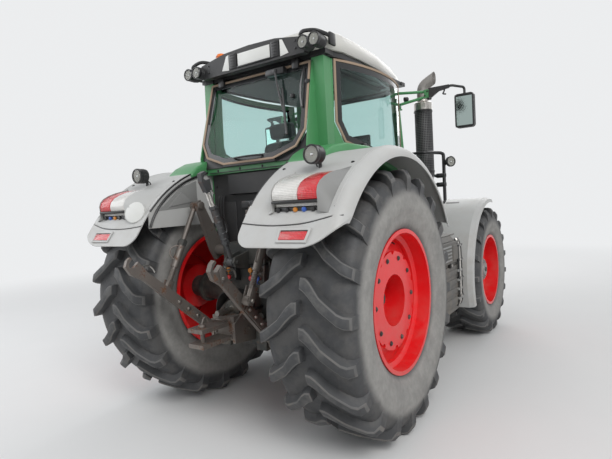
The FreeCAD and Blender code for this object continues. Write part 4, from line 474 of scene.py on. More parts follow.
class Work:
    """A piece on the bench: shapes are added with a finish, then it is set on its body.

    Shapes given in a moving part's own frame are carried to their place by a matrix."""

    def __init__(self, name, at=None):
        self.name = name
        self.at = at
        self.bm = bmesh.new()
        self.finishes = []

    def add(self, finish, *shapes, edge=None):
        """Faces marked with slot 1 take the edge finish, all others the first."""
        slots = []
        for name in (finish, edge or finish):
            if name not in self.finishes:
                self.finishes.append(name)
            slots.append(self.finishes.index(name))
        for shape in shapes:
            if self.at is not None:
                placed(shape, self.at)
            for face in shape.faces:
                face.material_index = slots[min(face.material_index, 1)]
            mesh = bpy.data.meshes.new("part")
            shape.to_mesh(mesh)
            self.bm.from_mesh(mesh)
            bpy.data.meshes.remove(mesh)
            shape.free()
        return self

    def done(self, body, slot=None, replaces=(), sharp=32.0):
        limit = math.radians(sharp)
        for face in self.bm.faces:
            face.smooth = True
        for edge in self.bm.edges:
            if len(edge.link_faces) != 2 or edge.calc_face_angle() > limit:
                edge.smooth = False
        mesh = bpy.data.meshes.new(self.name)
        self.bm.to_mesh(mesh)
        self.bm.free()
        for finish in self.finishes:
            mesh.materials.append(FINISHES[finish])
        piece = bpy.data.objects.new(self.name, mesh)
        bpy.context.scene.collection.objects.link(piece)
        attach(piece, body)
        if replaces:
            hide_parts(*replaces)
        return piece


def between(table, t):
    """A value read from rising (t, value, value ...) rows."""
    for low, high in zip(table, table[1:]):
        if t <= high[0]:
            share = (t - low[0]) / (high[0] - low[0])
            return [a + (b - a) * share for a, b in zip(low[1:], high[1:])]
    return list(table[-1][1:])


# Wheels

# The wheel's centre on the left side, a lug's length, the bead and tip radii, and the wall's section
TYRES = {
    "rear": {
        "centre": (0.99, REAR_AXLE, REAR_HUB), "long": 0.44, "bead": 0.56, "tip": 1.03,
        "section": [(0.296, 0.546), (0.298, 0.562), (0.312, 0.578), (0.322, 0.600), (0.326, 0.604),
                    (0.336, 0.640), (0.348, 0.690), (0.353, 0.700), (0.3565, 0.740), (0.358, 0.790),
                    (0.355, 0.840), (0.351, 0.848), (0.343, 0.890), (0.326, 0.925), (0.300, 0.946),
                    (0.250, 0.958), (0.160, 0.965), (0.060, 0.968)],
    },
    "front": {
        "centre": (0.97, FRONT_AXLE, FRONT_HUB), "long": 0.36, "bead": 0.457, "tip": 0.82,
        "section": [(0.243, 0.443), (0.245, 0.458), (0.257, 0.472), (0.266, 0.490), (0.270, 0.494),
                    (0.278, 0.522), (0.287, 0.560), (0.291, 0.568), (0.294, 0.600), (0.295, 0.640),
                    (0.292, 0.676), (0.288, 0.683), (0.281, 0.708), (0.268, 0.733), (0.248, 0.750),
                    (0.206, 0.760), (0.132, 0.765), (0.050, 0.768)],
    },
}
# Along a lug, as shares of the tyre's half width and tip radius:
# place, foot across, foot radius, top across, top radius, middle line, half width at the top
LUG_LINE = [
    (0.00, 0.015, 0.930, 0.022, 0.999, -0.140, 0.036),
    (0.15, 0.165, 0.930, 0.168, 1.000, -0.122, 0.050),
    (0.45, 0.445, 0.928, 0.447, 0.999, -0.012, 0.040),
    (0.80, 0.820, 0.900, 0.822, 0.993, 0.080, 0.038),
    (0.93, 0.945, 0.860, 0.945, 0.978, 0.096, 0.039),
    (1.00, 0.985, 0.790, 0.994, 0.935, 0.102, 0.040),
]


def wheel_centre(end, word):
    x, y, z = TYRES[end]["centre"]
    return (SIDES[word] * x, y, z)


def lug(end):
    """One tread lug at the top of the wheel on its +X side, its nose leading forwards."""
    size = TYRES[end]
    tip = size["tip"]
    scale = tip / TYRES["rear"]["tip"]
    half = max(x for x, r in size["section"])
    tall = 0.062 * scale
    bm = fresh()
    bmesh.ops.create_grid(bm, x_segments=9, y_segments=2, size=0.5)
    bmesh.ops.scale(bm, vec=(size["long"], 0.07 * scale, 1), verts=bm.verts)
    out = bmesh.ops.extrude_face_region(bm, geom=bm.faces[:])
    raised = [v for v in out["geom"] if isinstance(v, bmesh.types.BMVert)]
    bmesh.ops.translate(bm, vec=(0, 0, tall), verts=raised)
    bmesh.ops.recalc_face_normals(bm, faces=bm.faces)
    rim = [e for e in bm.edges if all(v.co.z > tall / 2 for v in e.verts) and e.calc_face_angle(0.0) > 0.8]
    made = bmesh.ops.bevel(bm, geom=rim, offset=0.0075 * scale, segments=2, profile=0.5, affect="EDGES",
                           material=-1, clamp_overlap=True)
    for face in made["faces"]:
        face.material_index = 1
    for v in bm.verts:
        t = v.co.x / size["long"] + 0.5
        f = v.co.z / tall
        foot_u, foot_r, top_u, top_r, line, wide = between(LUG_LINE, t)
        u = half * (foot_u + (top_u - foot_u) * f)
        r = tip * (foot_r + (top_r - foot_r) * f)
        across = v.co.y / (0.035 * scale)
        turn = (line * scale + across * scale * (wide + 0.018 * (1 - f))) / tip
        v.co = (u, r * math.sin(turn), r * math.cos(turn))
    bmesh.ops.recalc_face_normals(bm, faces=bm.faces)
    return bm


def tyre(end, word, count):
    centre = wheel_centre(end, word)
    wall = TYRES[end]["section"]
    section = wall + [(-u, r) for u, r in reversed(wall)]
    work = Work(f"{end}_tyre_{word}_tread")
    finish = f"{end}_rubber_{word}"
    work.add(finish, spun(section, centre, "x", count * 6))
    one = lug(end)
    other = mirrored(one)
    pitch = 360 / count
    for k in range(count):
        for shape, start in ((one, 0.0), (other, 0.5)):
            copy = turned(shape.copy(), (k + start) * pitch, "X")
            bmesh.ops.translate(copy, vec=centre, verts=copy.verts)
            work.add(finish, copy, edge="worn_edge")
    one.free()
    other.free()
    work.done(f"{end}_wheel_{word}", "tyre", [f"{end}_tyre_{word}"], 40.0)


# Fittings on the wheels

def wheel_fittings():
    """Bolts in the rear discs, the rear hub flanges and the front planetary hubs."""
    for word, side in SIDES.items():
        work = Work(f"rear_wheel_{word}_bolts")
        for x, reach, radius in ((1.205, 0.335, 0.015), (1.024, 0.150, 0.017)):
            bolt_ring(work, "cast", (side * x, REAR_AXLE, REAR_HUB), reach, 10, (radius, 0.012), side, 0.5)
        cap = [(1.080, 0.0), (1.105, 0.0), (1.105, 0.045), (1.096, 0.060), (1.080, 0.060)]
        work.add("cast", spun([(side * u, r) for u, r in cap], (0, REAR_AXLE, REAR_HUB), "x", 40, False))
        work.add("satin", piped([(side * 1.19, REAR_AXLE + 0.02, REAR_HUB + 0.462),
                                 (side * 1.215, REAR_AXLE + 0.02, REAR_HUB + 0.458),
                                 (side * 1.235, REAR_AXLE + 0.02, REAR_HUB + 0.445)], 0.006))
        work.done(f"rear_wheel_{word}", "hub")
        work = Work(f"front_wheel_{word}_bolts")
        bolt_ring(work, "hub", (side * 1.142, FRONT_AXLE, FRONT_HUB), 0.112, 12, (0.009, 0.010), side)
        bolt_ring(work, "cast", (side * 1.077, FRONT_AXLE, FRONT_HUB), 0.205, 8, (0.015, 0.016), side, 0.5)
        work.add("cast", drum((side * 1.160, FRONT_AXLE, FRONT_HUB), 0.012, 0.030, (side, 0, 0), sides=6))
        work.done(f"front_wheel_{word}", "hub")


# Rear fenders: lamps, seams, and facets in painted shade

FENDER_RING = 1.2
APRON = math.radians(35)
TAIL_FACE = [(0.958, 1.852), (0.963, 1.892), (0.950, 1.930), (0.918, 1.962), (0.865, 1.990), (0.790, 2.014),
             (0.715, 2.030), (0.660, 2.036)]


def on_fender(x, angle, out=0.0):
    turn = math.radians(angle)
    reach = FENDER_RING + out
    return Vector((x, REAR_AXLE + reach * math.cos(turn), REAR_HUB + reach * math.sin(turn)))


def on_apron(x, down, out=0.0):
    start = on_fender(x, math.degrees(APRON), out)
    return start + Vector((0, math.sin(APRON), -math.cos(APRON))) * down


DISC_X, DISC_ANGLE = 0.680, 40.3


def side_profile(face, base):
    """The side outline of a lamp block: its face, then back along the fender's skin."""
    return [(REAR_AXLE + y, z) for y, z in face] + [(REAR_AXLE + y, z) for y, z in base]


def fairing(face, base, inner, outer):
    """A wedge from a lamp's side down to the fender's skin."""
    bm = side_plate(side_profile(face, base), inner, outer - inner, 0.0)
    for v in bm.verts:
        if abs(v.co.x - outer) < 1e-5:
            reach = Vector((v.co.y - REAR_AXLE, v.co.z - REAR_HUB))
            reach = reach.normalized() * (FENDER_RING + 0.001)
            v.co.y, v.co.z = REAR_AXLE + reach.x, REAR_HUB + reach.y
    bmesh.ops.recalc_face_normals(bm, faces=bm.faces)
    return rounded(bm, 0.006, 2, 35.0)


def fender_fittings():
    for word, side in SIDES.items():
        body = "chassis"
        base = [(0.600, 2.026), (0.750, 1.950), (0.826, 1.852)]
        work = Work(f"tail_lamp_{word}_lenses")
        white = side_plate(side_profile(TAIL_FACE, base), side * 0.800, side * 0.201, 0.006)
        red = side_plate(side_profile(TAIL_FACE, base), side * 1.005, side * 0.148, 0.006)
        work.add("lens_white", white).add("lens_red", red)
        inside = [(y - 0.016, z) for y, z in TAIL_FACE]
        work.add("black", side_plate(side_profile(inside, base), side * 1.0, side * 0.006, 0.0))
        work.add("satin", side_plate([(REAR_AXLE + y, z) for y, z in (
            (0.816, 1.774), (0.936, 1.780), (0.936, 1.806), (0.912, 1.810), (0.912, 1.834), (0.968, 1.836),
            (0.968, 1.851), (0.80, 1.851))], side * 0.797, side * 0.358, 0.003))
        work.add("lens_white", side_plate([(REAR_AXLE + y, z) for y, z in (
            (0.90, 1.811), (0.928, 1.811), (0.928, 1.833), (0.90, 1.833))], side * 0.802, side * 0.346, 0.003))
        for k in range(5):
            x = side * (0.835 + 0.068 * k)
            work.add({2: "amber", 3: "blue"}.get(k, "satin"), drum((x, REAR_AXLE + 0.90, 1.792), 0.048, 0.016, "y"))
        for k in range(9):
            # Black blocks below the lamp: painted shadow in the serrated recess
            x = side * (0.815 + 0.040 * k)
            work.add("black", cuboid((x - 0.008, REAR_AXLE + 0.852, 1.748), (x + 0.008, REAR_AXLE + 0.915, 1.778),
                                     0.003))
        work.done(body, "lens", [f"tail_lamp_{word}"])

        work = Work(f"rear_fender_{word}_fairing")
        face = [(0.966, 1.778)] + [(y + 0.004, z + 0.004) for y, z in TAIL_FACE]
        low = [(0.600, 2.030), (0.750, 1.955), (0.826, 1.85), (0.915, 1.778)]
        # The lamp's outer wedge takes the darker grey: painted shade on this facet
        work.add("grey_and_painted_shade", fairing(face, low, side * 1.155, side * 1.222))
        work.add("fender", fairing(face, low, side * 0.796, side * (0.600 if side > 0 else 0.758)))
        slope = [on_apron(side * x, s, 0.0) for x, s in ((0.890, 0.052), (1.142, 0.052), (1.132, 0.158),
                                                         (0.900, 0.158))]
        out = Vector((0, math.cos(APRON), math.sin(APRON)))
        work.add("fender", frame_of(slope, 0.018, out * 0.012, 0.004))
        work.add("black", extruded([on_apron(side * x, s, 0.0) for x, s in (
            (0.905, 0.066), (1.128, 0.066), (1.120, 0.078), (0.912, 0.078))], out * 0.004, 0.0))
        work.add("lens_red", extruded([on_apron(side * x, s, 0.0) for x, s in (
            (0.914, 0.079), (1.118, 0.079), (1.118, 0.137), (0.914, 0.137))], out * 0.010, 0.002))
        work.done(body, "fender")

        work = Work(f"rear_fender_{word}_seams")
        across = [on_apron(side * x, s, 0.001) for x, s in ((0.556, 0.006), (0.740, 0.030), (0.930, 0.030),
                                                            (1.080, 0.018))]
        across += [on_fender(side * 1.210, 35.8, 0.001), on_fender(side * 1.262, 36.5, 0.0),
                   on_fender(side * 1.318, 37.6, -0.026)]
        work.add("black", piped(across, 0.0032, 6))
        work.add("fender", piped([c + Vector((0, -0.004, 0.007)) for c in across[:-1]], 0.005, 8))
        run = [on_fender(side * 1.252, a, 0.0005) for a in range(40, 150, 6)]
        work.add("fender", piped(run, 0.005, 8))
        edge = [on_fender(side * 0.556, a, -0.004) for a in range(42, 154, 6)]
        work.add("satin", piped(edge, 0.0085, 8))
        for angle in (62, 118):
            for x in (0.62, 1.20):
                out = on_fender(0, angle, 1) - on_fender(0, angle)
                work.add("satin", bolt(on_fender(side * x, angle), out, 0.010, 0.006))
        work.done(body, "fender")

        work = Work(f"rear_fender_{word}_inner")
        # Dark plates on the inner wall: painted shade, a darker copy of the fender grey where the wall lies in shadow
        for deep, corners in ((0.006, ((0.81, 1.83), (0.55, 2.03), (0.36, 2.09), (0.36, 1.86))),
                              (0.014, ((0.70, 1.86), (0.55, 1.99), (0.42, 1.90)))):
            plate = [(side * 0.556, REAR_AXLE + y, z) for y, z in corners]
            work.add("grey_and_painted_shade", extruded(plate, (side * -(deep + 0.001), 0, 0), 0.004))
        work.add("satin", piped([(side * 0.540, REAR_AXLE + y, z) for y, z in (
            (0.10, 2.19), (0.40, 2.13), (0.66, 2.00), (0.86, 1.82), (0.905, 1.70))], 0.010))
        work.done(body, "trim")
    disc = Work("blank_disc")
    lie = math.radians(DISC_ANGLE)
    up = Vector((0, math.cos(lie), math.sin(lie)))
    facing = Vector((-0.284, 0.883, 0.375)).normalized()
    where = Vector((DISC_X, REAR_AXLE, REAR_HUB)) + up * (FENDER_RING + 0.047) - facing * 0.026
    disc.add("plate", drum(where, 0.020, 0.092, facing, sides=64, round_by=0.0015))
    disc.done("chassis", "fender")
    for word, side in SIDES.items():
        wing = Work(f"cab_wing_{word}")
        crest = [(69, 0.001), (74, 0.038), (80, 0.062), (87, 0.071), (100, 0.071), (114, 0.064), (126, 0.040),
                 (134, 0.001)]
        foot = [(134 - 65 * k / 11, -0.045) for k in range(12)]
        line = [on_fender(0, a, r) for a, r in crest + foot]
        bm = side_plate([(c.y, c.z) for c in line], side * 0.535, side * 0.325, 0.0)
        for v in bm.verts:
            if abs(v.co.x) > 0.8:
                angle = math.degrees(math.atan2(v.co.z - REAR_HUB, v.co.y - REAR_AXLE))
                v.co.x += side * max(angle - 84, 0) * 0.0055
        wing.add("green", rounded(bm, 0.022, 4, 50.0))
        wing.done("chassis", "green_paint")


def work_lamp(work, centre, radius, out):
    """The glass side of a round lamp: bezel, reflector, lens and bulb cap."""
    along = Matrix.Translation(centre) @ facing((1, 0, 0), Vector(out).normalized())
    bezel = [(-0.012, radius * 1.07), (0.010, radius * 1.07), (0.015, radius * 0.99), (0.015, radius * 0.87),
             (0.004, radius * 0.85), (-0.012, radius * 0.85)]
    work.add("satin", placed(spun(bezel, (0, 0, 0), "x", 48), along))
    dish = [(0.001, 0.0), (0.001, radius * 0.30), (0.003, radius * 0.60), (0.006, radius * 0.885)]
    work.add("reflector", placed(spun(dish, (0, 0, 0), "x", 48, False), along))
    front = [(0.012, 0.0), (0.0118, radius * 0.45), (0.010, radius * 0.89), (0.007, radius * 0.89),
             (0.0088, radius * 0.45), (0.009, 0.0)]
    work.add("lamp_glass", placed(spun(front, (0, 0, 0), "x", 48, False), along))
    work.add("chrome", placed(drum((0.002, 0, 0), 0.005, radius * 0.2, "x", radius * 0.14, 24, 0.0), along))


def lamp_fittings():
    work = Work("work_lamp_fittings")
    for side in SIDES.values():
        for x in (0.610, 0.718):
            work_lamp(work, (side * x, REAR_AXLE + 0.205, 3.112), 0.052, (0, 1, -0.04))
            for k in range(5):
                work.add("satin", spun([(0, 0.0525), (0.003, 0.056), (0.006, 0.056), (0.009, 0.0525)],
                                       (side * x, REAR_AXLE + 0.120 + 0.014 * k, 3.112), "y", 32))
        work_lamp(work, (side * 0.955, REAR_AXLE + 0.689, 2.16), 0.064, (0, 1, 0))
        for k in range(4):
            work.add("satin", spun([(0, 0.0645), (0.003, 0.068), (0.006, 0.068), (0.009, 0.0645)],
                                   (side * 0.955, REAR_AXLE + 0.625 + 0.013 * k, 2.16), "y", 32))
        work.add("satin", piped([(side * 0.930, REAR_AXLE + 0.62, 2.12), (side * 0.915, REAR_AXLE + 0.57, 2.10),
                                 (side * 0.925, REAR_AXLE + 0.58, 2.075)], 0.005))
        grip = [(side * 0.52, REAR_AXLE + 0.10, 3.200), (side * 0.56, REAR_AXLE + 0.165, 3.215),
                (side * 0.66, REAR_AXLE + 0.165, 3.205), (side * 0.735, REAR_AXLE + 0.15, 3.185),
                (side * 0.765, REAR_AXLE + 0.06, 3.165)]
        work.add("satin", piped(grip, 0.016, 12))
        work.add("satin", cuboid((side * 0.775 - 0.012, REAR_AXLE - 0.02, 3.09),
                                 (side * 0.775 + 0.012, REAR_AXLE + 0.07, 3.19), 0.008))
    work.done("chassis", "lamp")
    work = Work("beacon_light")
    where = (0.57, REAR_AXLE - 0.10, 3.262)
    work.add("satin", drum((where[0], where[1], 3.240), 0.030, 0.066, "z", 0.060, 40))
    dome = [(0.0, 0.054), (0.010, 0.054), (0.062, 0.049), (0.078, 0.040), (0.086, 0.020), (0.088, 0.0), (0.0, 0.0)]
    work.add("beacon", spun(dome, where, "z", 48))
    for k in range(4):
        work.add("beacon", spun([(0, 0.053), (0.003, 0.0555), (0.006, 0.053)],
                                (where[0], where[1], where[2] + 0.012 + 0.013 * k), "z", 40))
    work.done("chassis", "beacon", ["beacon"])
    work = Work("handrail_lamp")
    centre = Vector((-1.135, REAR_AXLE - 1.79, 2.195))
    facing = Vector((-0.80, 0.60, 0.0))
    work.add("satin", drum(centre - facing * 0.060, 0.055, 0.030, facing, 0.056, 40, 0.01))
    work_lamp(work, centre + facing * 0.004, 0.054, facing)
    work.add("satin", piped([centre - facing * 0.045, Vector((-1.078, REAR_AXLE - 1.80, 2.17)),
                             Vector((-1.060, REAR_AXLE - 1.79, 2.15))], 0.010))
    for z in (2.05, 1.95):
        work.add("satin", drum((-1.052, REAR_AXLE - 1.79, z), 0.075, 0.026, (1, 0, 0), sides=24))
        work.add("satin", drum((-1.060, REAR_AXLE - 1.79, z - 0.020), 0.040, 0.024, "z", sides=24))
        work.add("satin", cuboid((-0.990, REAR_AXLE - 1.812, z - 0.016),
                                 (-0.955, REAR_AXLE - 1.768, z + 0.016), 0.005))
    grip = [(-0.96, REAR_AXLE - 1.62, 2.3), (-1.00, REAR_AXLE - 1.69, 2.3), (-1.06, REAR_AXLE - 1.79, 2.295),
            (-1.062, REAR_AXLE - 1.79, 2.24), (-1.06, REAR_AXLE - 1.79, 2.0), (-1.06, REAR_AXLE - 1.79, 1.77)]
    work.add("satin", piped(grip, 0.0185, 12))
    work.done("chassis", "black_metal")


# Roof

def roof_rings():
    """The roof's outline at several heights: right-hand corners, then mirrored."""
    corners = [(0.74, 0.128, 0.7, -1.0), (0.94, 0.018, 1.0, -0.85), (1.0, -0.170, 1.0, -0.6),
               (1.0, -0.480, 1.0, -0.3), (0.975, -0.900, 1.0, 0.0), (0.86, -1.460, 1.0, 0.4),
               (0.77, -1.765, 1.0, 0.7), (0.55, -1.885, 0.7, 1.0)]
    rings = []
    for z, inset in ((3.084, 0.019), (3.100, 0.008), (3.142, 0.0), (3.190, 0.020), (3.231, 0.0456), (3.262, 0.085),
                     (3.291, 0.160), (3.318, 0.255), (3.346, 0.380)):
        right = [(0.782 * u - inset * a, REAR_AXLE + y + inset * b, z) for u, y, a, b in corners]
        rings.append(right + [(-x, y, z) for x, y, z in reversed(right)])
    return rings


def roof_shell():
    work = Work("cab_roof_shell")
    bm = fresh()
    loops = [[bm.verts.new(c) for c in ring] for ring in roof_rings()]
    for ring in loops:
        for a, b in zip(ring, ring[1:] + ring[:1]):
            bm.edges.new((a, b))
    for low, high in zip(loops, loops[1:]):
        edges = [bm.edges.get((r[k - 1], r[k])) for r in (low, high) for k in range(len(r))]
        bmesh.ops.bridge_loops(bm, edges=edges)
    bm.faces.new(loops[-1])
    bm.faces.new(reversed(loops[0]))
    bmesh.ops.recalc_face_normals(bm, faces=bm.faces)
    upright = [e for e in bm.edges if abs(e.verts[0].co.z - e.verts[1].co.z) > 0.005]
    bmesh.ops.bevel(bm, geom=upright, offset=0.045, segments=3, profile=0.5, affect="EDGES", material=-1,
                    clamp_overlap=True)
    work.add("roof", bm)
    work.done("chassis", "roof", ["cab_roof"], sharp=38.0)


def roof_fittings():
    work = Work("roof_rear_fittings")
    y = REAR_AXLE + 0.1545

    def plate(corners, deep, round_by=0.003):
        return extruded([(x, y, z) for x, z in corners], (0, deep, 0), round_by)

    work.add("plate", plate([(-0.235, 3.085), (0.130, 3.085), (0.130, 3.193), (-0.235, 3.193)], 0.004))
    work.add("satin", plate([(-0.245, 3.072), (0.140, 3.072), (0.140, 3.082), (-0.245, 3.082)], 0.012))
    for side in SIDES.values():
        by = -0.105 if side > 0 else 0.0
        work.add("satin", plate([(side * x + by, z) for x, z in ((0.250, 3.074), (0.335, 3.074), (0.335, 3.205),
                                                                 (0.250, 3.205))], 0.009, 0.004))
        for k in range(5):
            z = 3.092 + 0.024 * k
            x = side * 0.2925 + by
            work.add("black", cuboid((x - 0.030, y + 0.009, z), (x + 0.030, y + 0.0125, z + 0.010), 0.002))
        work.add("plate", plate([(side * x + by, z) for x, z in ((0.345, 3.066), (0.432, 3.078), (0.372, 3.200),
                                                                 (0.345, 3.205))], 0.004))
        work.add("satin", bolt((side * 0.50, y, 3.10), "y", 0.009, 0.005))
        work.add("satin", bolt((side * 0.50, y, 3.16), "y", 0.009, 0.005))
    work.done("chassis", "box")
    work = Work("roof_edge_trim")
    ring, middle = roof_rings()[0], REAR_AXLE - 0.85
    for low, high, inset in ((3.036, 3.088, 0.020), (3.020, 3.040, 0.045)):
        bm = fresh()
        spots = []
        for x, along, z in ring:
            along = min(along, REAR_AXLE + 0.05)
            spots.append(bm.verts.new((x * (1 - inset / 0.78), middle + (along - middle) * (1 - inset), low)))
        edges = [bm.edges.new((a, b)) for a, b in zip(spots, spots[1:] + spots[:1])]
        moved_up(bm, bmesh.ops.extrude_edge_only(bm, edges=edges), (0, 0, high - low))
        bmesh.ops.recalc_face_normals(bm, faces=bm.faces)
        bmesh.ops.solidify(bm, geom=bm.faces[:], thickness=0.022)
        work.add("satin", bm)
    work.done("chassis", "trim")
    work = Work("roof_front_lamps")
    for x in (-0.36, -0.22, 0.22, 0.36):
        work.add("satin", drum((x, REAR_AXLE - 1.880, 3.150), 0.050, 0.048, "y", sides=32))
        work_lamp(work, (x, REAR_AXLE - 1.884, 3.150), 0.046, (0, -1, 0))
    work.done("chassis", "lamp")


# Glass fittings

PANE = [(-0.105, 3.032), (-0.095, 2.500), (-0.190, 2.330), (-0.560, 2.235), (-1.010, 1.790), (-1.120, 1.560),
        (-1.490, 1.560), (-1.455, 3.032)]


def bowed_out(bm, side, shift):
    """Carry a flat side outline on to the bowed glass."""
    for k in range(1, 14):
        bmesh.ops.bisect_plane(bm, geom=bm.verts[:] + bm.edges[:] + bm.faces[:],
                               plane_co=(0, REAR_AXLE - 0.11 * k - 0.02, 0), plane_no=(0, 1, 0))
    for v in bm.verts:
        away = v.co.y - (REAR_AXLE - 0.785)
        v.co.x = side * (0.812 - 2.12 + math.sqrt(2.12 ** 2 - away ** 2) + shift + abs(v.co.x))
    bmesh.ops.recalc_face_normals(bm, faces=bm.faces)
    return bm


def shrunk(corners, inset):
    """A flat outline pulled in by an even width."""
    bm = fresh()
    face = bm.faces.new([bm.verts.new(c) for c in corners])
    bm.normal_update()
    bmesh.ops.inset_region(bm, faces=[face], thickness=inset, depth=0.0, use_boundary=True, use_even_offset=True)
    spots = [v.co.copy() for v in face.verts]
    bm.free()
    return spots


def frame_of(corners, width, shift, round_by=0.002):
    """A flat outline with its middle left out, drawn out along a shift."""
    bm = fresh()
    face = bm.faces.new([bm.verts.new(c) for c in corners])
    bm.normal_update()
    bmesh.ops.inset_region(bm, faces=[face], thickness=width, depth=0.0, use_boundary=True, use_even_offset=True)
    bmesh.ops.delete(bm, geom=[face], context="FACES")
    moved_up(bm, bmesh.ops.extrude_face_region(bm, geom=bm.faces[:]), shift)
    bmesh.ops.recalc_face_normals(bm, faces=bm.faces)
    return rounded(bm, round_by, 2, 40.0)


def rear_pane(x, z, out=0.006):
    return Vector((x, REAR_AXLE + 0.036 + (3.010 - z) * 0.26942 + out, z))


def glass_fittings():
    for word, side in SIDES.items():
        work = Work(f"{word}_side_glass_trim")
        clear = 0.012 if side > 0 else 0.0
        flat = [(0.0, REAR_AXLE + y + (clear if y < -1.2 else 0.0), z) for y, z in PANE]
        seal = frame_of(flat, 0.020, (0.007, 0, 0), 0.0)
        work.add("seal", bowed_out(seal, side, 0.0))
        inner = shrunk(flat, 0.020)
        work.add("frit", bowed_out(frame_of(inner, 0.055, (0.0012, 0, 0), 0.0), side, 0.0))
        for z in (2.20, 2.29):
            spot = Vector((side * 0.795, REAR_AXLE - 0.42, z + 0.03))
            work.add("satin", cuboid(spot - Vector((0.012, 0.03, 0.012)), spot + Vector((0.012, 0.03, 0.012)), 0.005))
        work.done("left_door" if side > 0 else "chassis", "trim")
    for word, side in SIDES.items():
        corner = Work(f"cab_corner_{word}")
        flat = [(0.0, REAR_AXLE + y, z) for y, z in (
            (0.020, 3.030), (-0.100, 3.030), (-0.090, 2.500), (-0.183, 2.334), (-0.556, 2.240), (-0.760, 2.040),
            (-0.740, 1.975), (-0.540, 2.110), (-0.190, 2.235), (0.020, 2.250))]
        corner.add("green", bowed_out(extruded(flat, (0.008, 0, 0), 0.0), side, -0.012))
        cheek = [(side * x, REAR_AXLE + y, z) for x, y, z in (
            (0.578, 0.036, 3.012), (0.600, 0.036, 2.425), (0.604, 0.036, 2.236), (0.604, 0.230, 2.236),
            (0.604, 0.230, 2.300), (0.600, 0.201, 2.425), (0.578, 0.048, 2.995))]
        corner.add("green", extruded(cheek, (side * 0.010, 0, 0), 0.0))
        corner.done("chassis", "green_paint")
    work = Work("rear_window_trim")
    outline = [rear_pane(x, z) for x, z in ((0.575, 3.010), (0.597, 2.430), (0.515, 2.290), (0.2875, 2.212),
                                            (-0.2875, 2.212), (-0.515, 2.290), (-0.597, 2.430), (-0.575, 3.010))]
    work.add("seal", frame_of(outline, 0.020, (0, 0.010, 0.002), 0.003))
    work.add("frit", frame_of(shrunk(outline, 0.020), 0.045, (0, 0.0012, 0), 0.0))
    work.add("satin", cuboid(rear_pane(-0.33, 3.005, 0.004), rear_pane(-0.13, 2.945, 0.055), 0.012))
    work.add("satin", drum(rear_pane(-0.24, 2.975, 0.05), 0.022, 0.022, "y"))
    arm = [rear_pane(-0.24, 2.975, 0.062), rear_pane(-0.30, 2.78, 0.058), rear_pane(-0.365, 2.60, 0.034)]
    work.add("black", piped(arm, 0.009, 8))
    work.add("black", piped([rear_pane(-0.315, 2.815, 0.030), rear_pane(-0.365, 2.60, 0.032),
                             rear_pane(-0.418, 2.400, 0.030)], 0.011, 8))
    work.add("black", piped([rear_pane(-0.315, 2.815, 0.018), rear_pane(-0.365, 2.60, 0.018),
                             rear_pane(-0.418, 2.400, 0.018)], 0.006, 6))
    for x, z in ((-0.567, 2.83), (-0.427, 2.73)):
        work.add("satin", drum(rear_pane(x, z, 0.002), 0.030, 0.022, "y", 0.018))
    for side in SIDES.values():
        work.add("satin", cuboid(rear_pane(side * 0.43, 3.045, -0.015) - Vector((0.035, 0, 0)),
                                 rear_pane(side * 0.43, 2.965, 0.030) + Vector((0.035, 0, 0)), 0.010))
        work.add("satin", piped([rear_pane(side * 0.52, 2.96, 0.02), rear_pane(side * 0.50, 2.80, 0.05),
                                 rear_pane(side * 0.535, 2.62, 0.02)], 0.008, 8))
    grip = [rear_pane(x, 2.262, out) for x, out in ((-0.16, 0.010), (-0.14, 0.06), (0.14, 0.06), (0.16, 0.010))]
    work.add("satin", piped(grip, 0.009, 8))
    work.add("black", cuboid((-0.30, REAR_AXLE + 0.150, 2.192), (0.30, REAR_AXLE + 0.262, 2.213), 0.006))
    for side in SIDES.values():
        foot = [(side * x, REAR_AXLE + 0.236 - (z - 2.20) * 0.27, z) for x, z in (
            (0.290, 2.192), (0.535, 2.192), (0.590, 2.300), (0.600, 2.425), (0.590, 2.425), (0.515, 2.292),
            (0.290, 2.214))]
        work.add("black", extruded(foot, (0, -0.060, 0), 0.004))
    work.done("chassis", "trim")
    work = Work("windscreen_wiper")
    foot = Vector((0.0, REAR_AXLE - 1.765, 2.145))
    work.add("satin", drum(foot - Vector((0, 0.02, 0.01)), 0.05, 0.022, "y"))
    work.add("satin", piped([foot - Vector((0, 0.012, 0)), foot + Vector((0.16, -0.012, 0.22)),
                             foot + Vector((0.30, 0.03, 0.42))], 0.007, 8))
    work.done("chassis", "trim")
    work = Work("cab_post_trim")
    for side in SIDES.values():
        work.add("satin", cuboid((side * 0.62 - 0.045, REAR_AXLE + 0.042, 2.24),
                                 (side * 0.62 + 0.045, REAR_AXLE + 0.052, 2.30), 0.004))
        for z in (1.75, 2.78):
            work.add("satin", drum((side * 0.70, REAR_AXLE - 1.496, z + 0.061), 0.006, 0.011, "z"))
    work.add("black", cuboid((-0.50, REAR_AXLE + 0.222, 2.150), (0.50, REAR_AXLE + 0.232, 2.158), 0.002))
    for x in (-0.40, -0.13, 0.13, 0.40):
        work.add("satin", bolt((x, REAR_AXLE + 0.220, 2.172), "y", 0.009, 0.006))
    work.done("chassis", "trim")


# Inside the cab

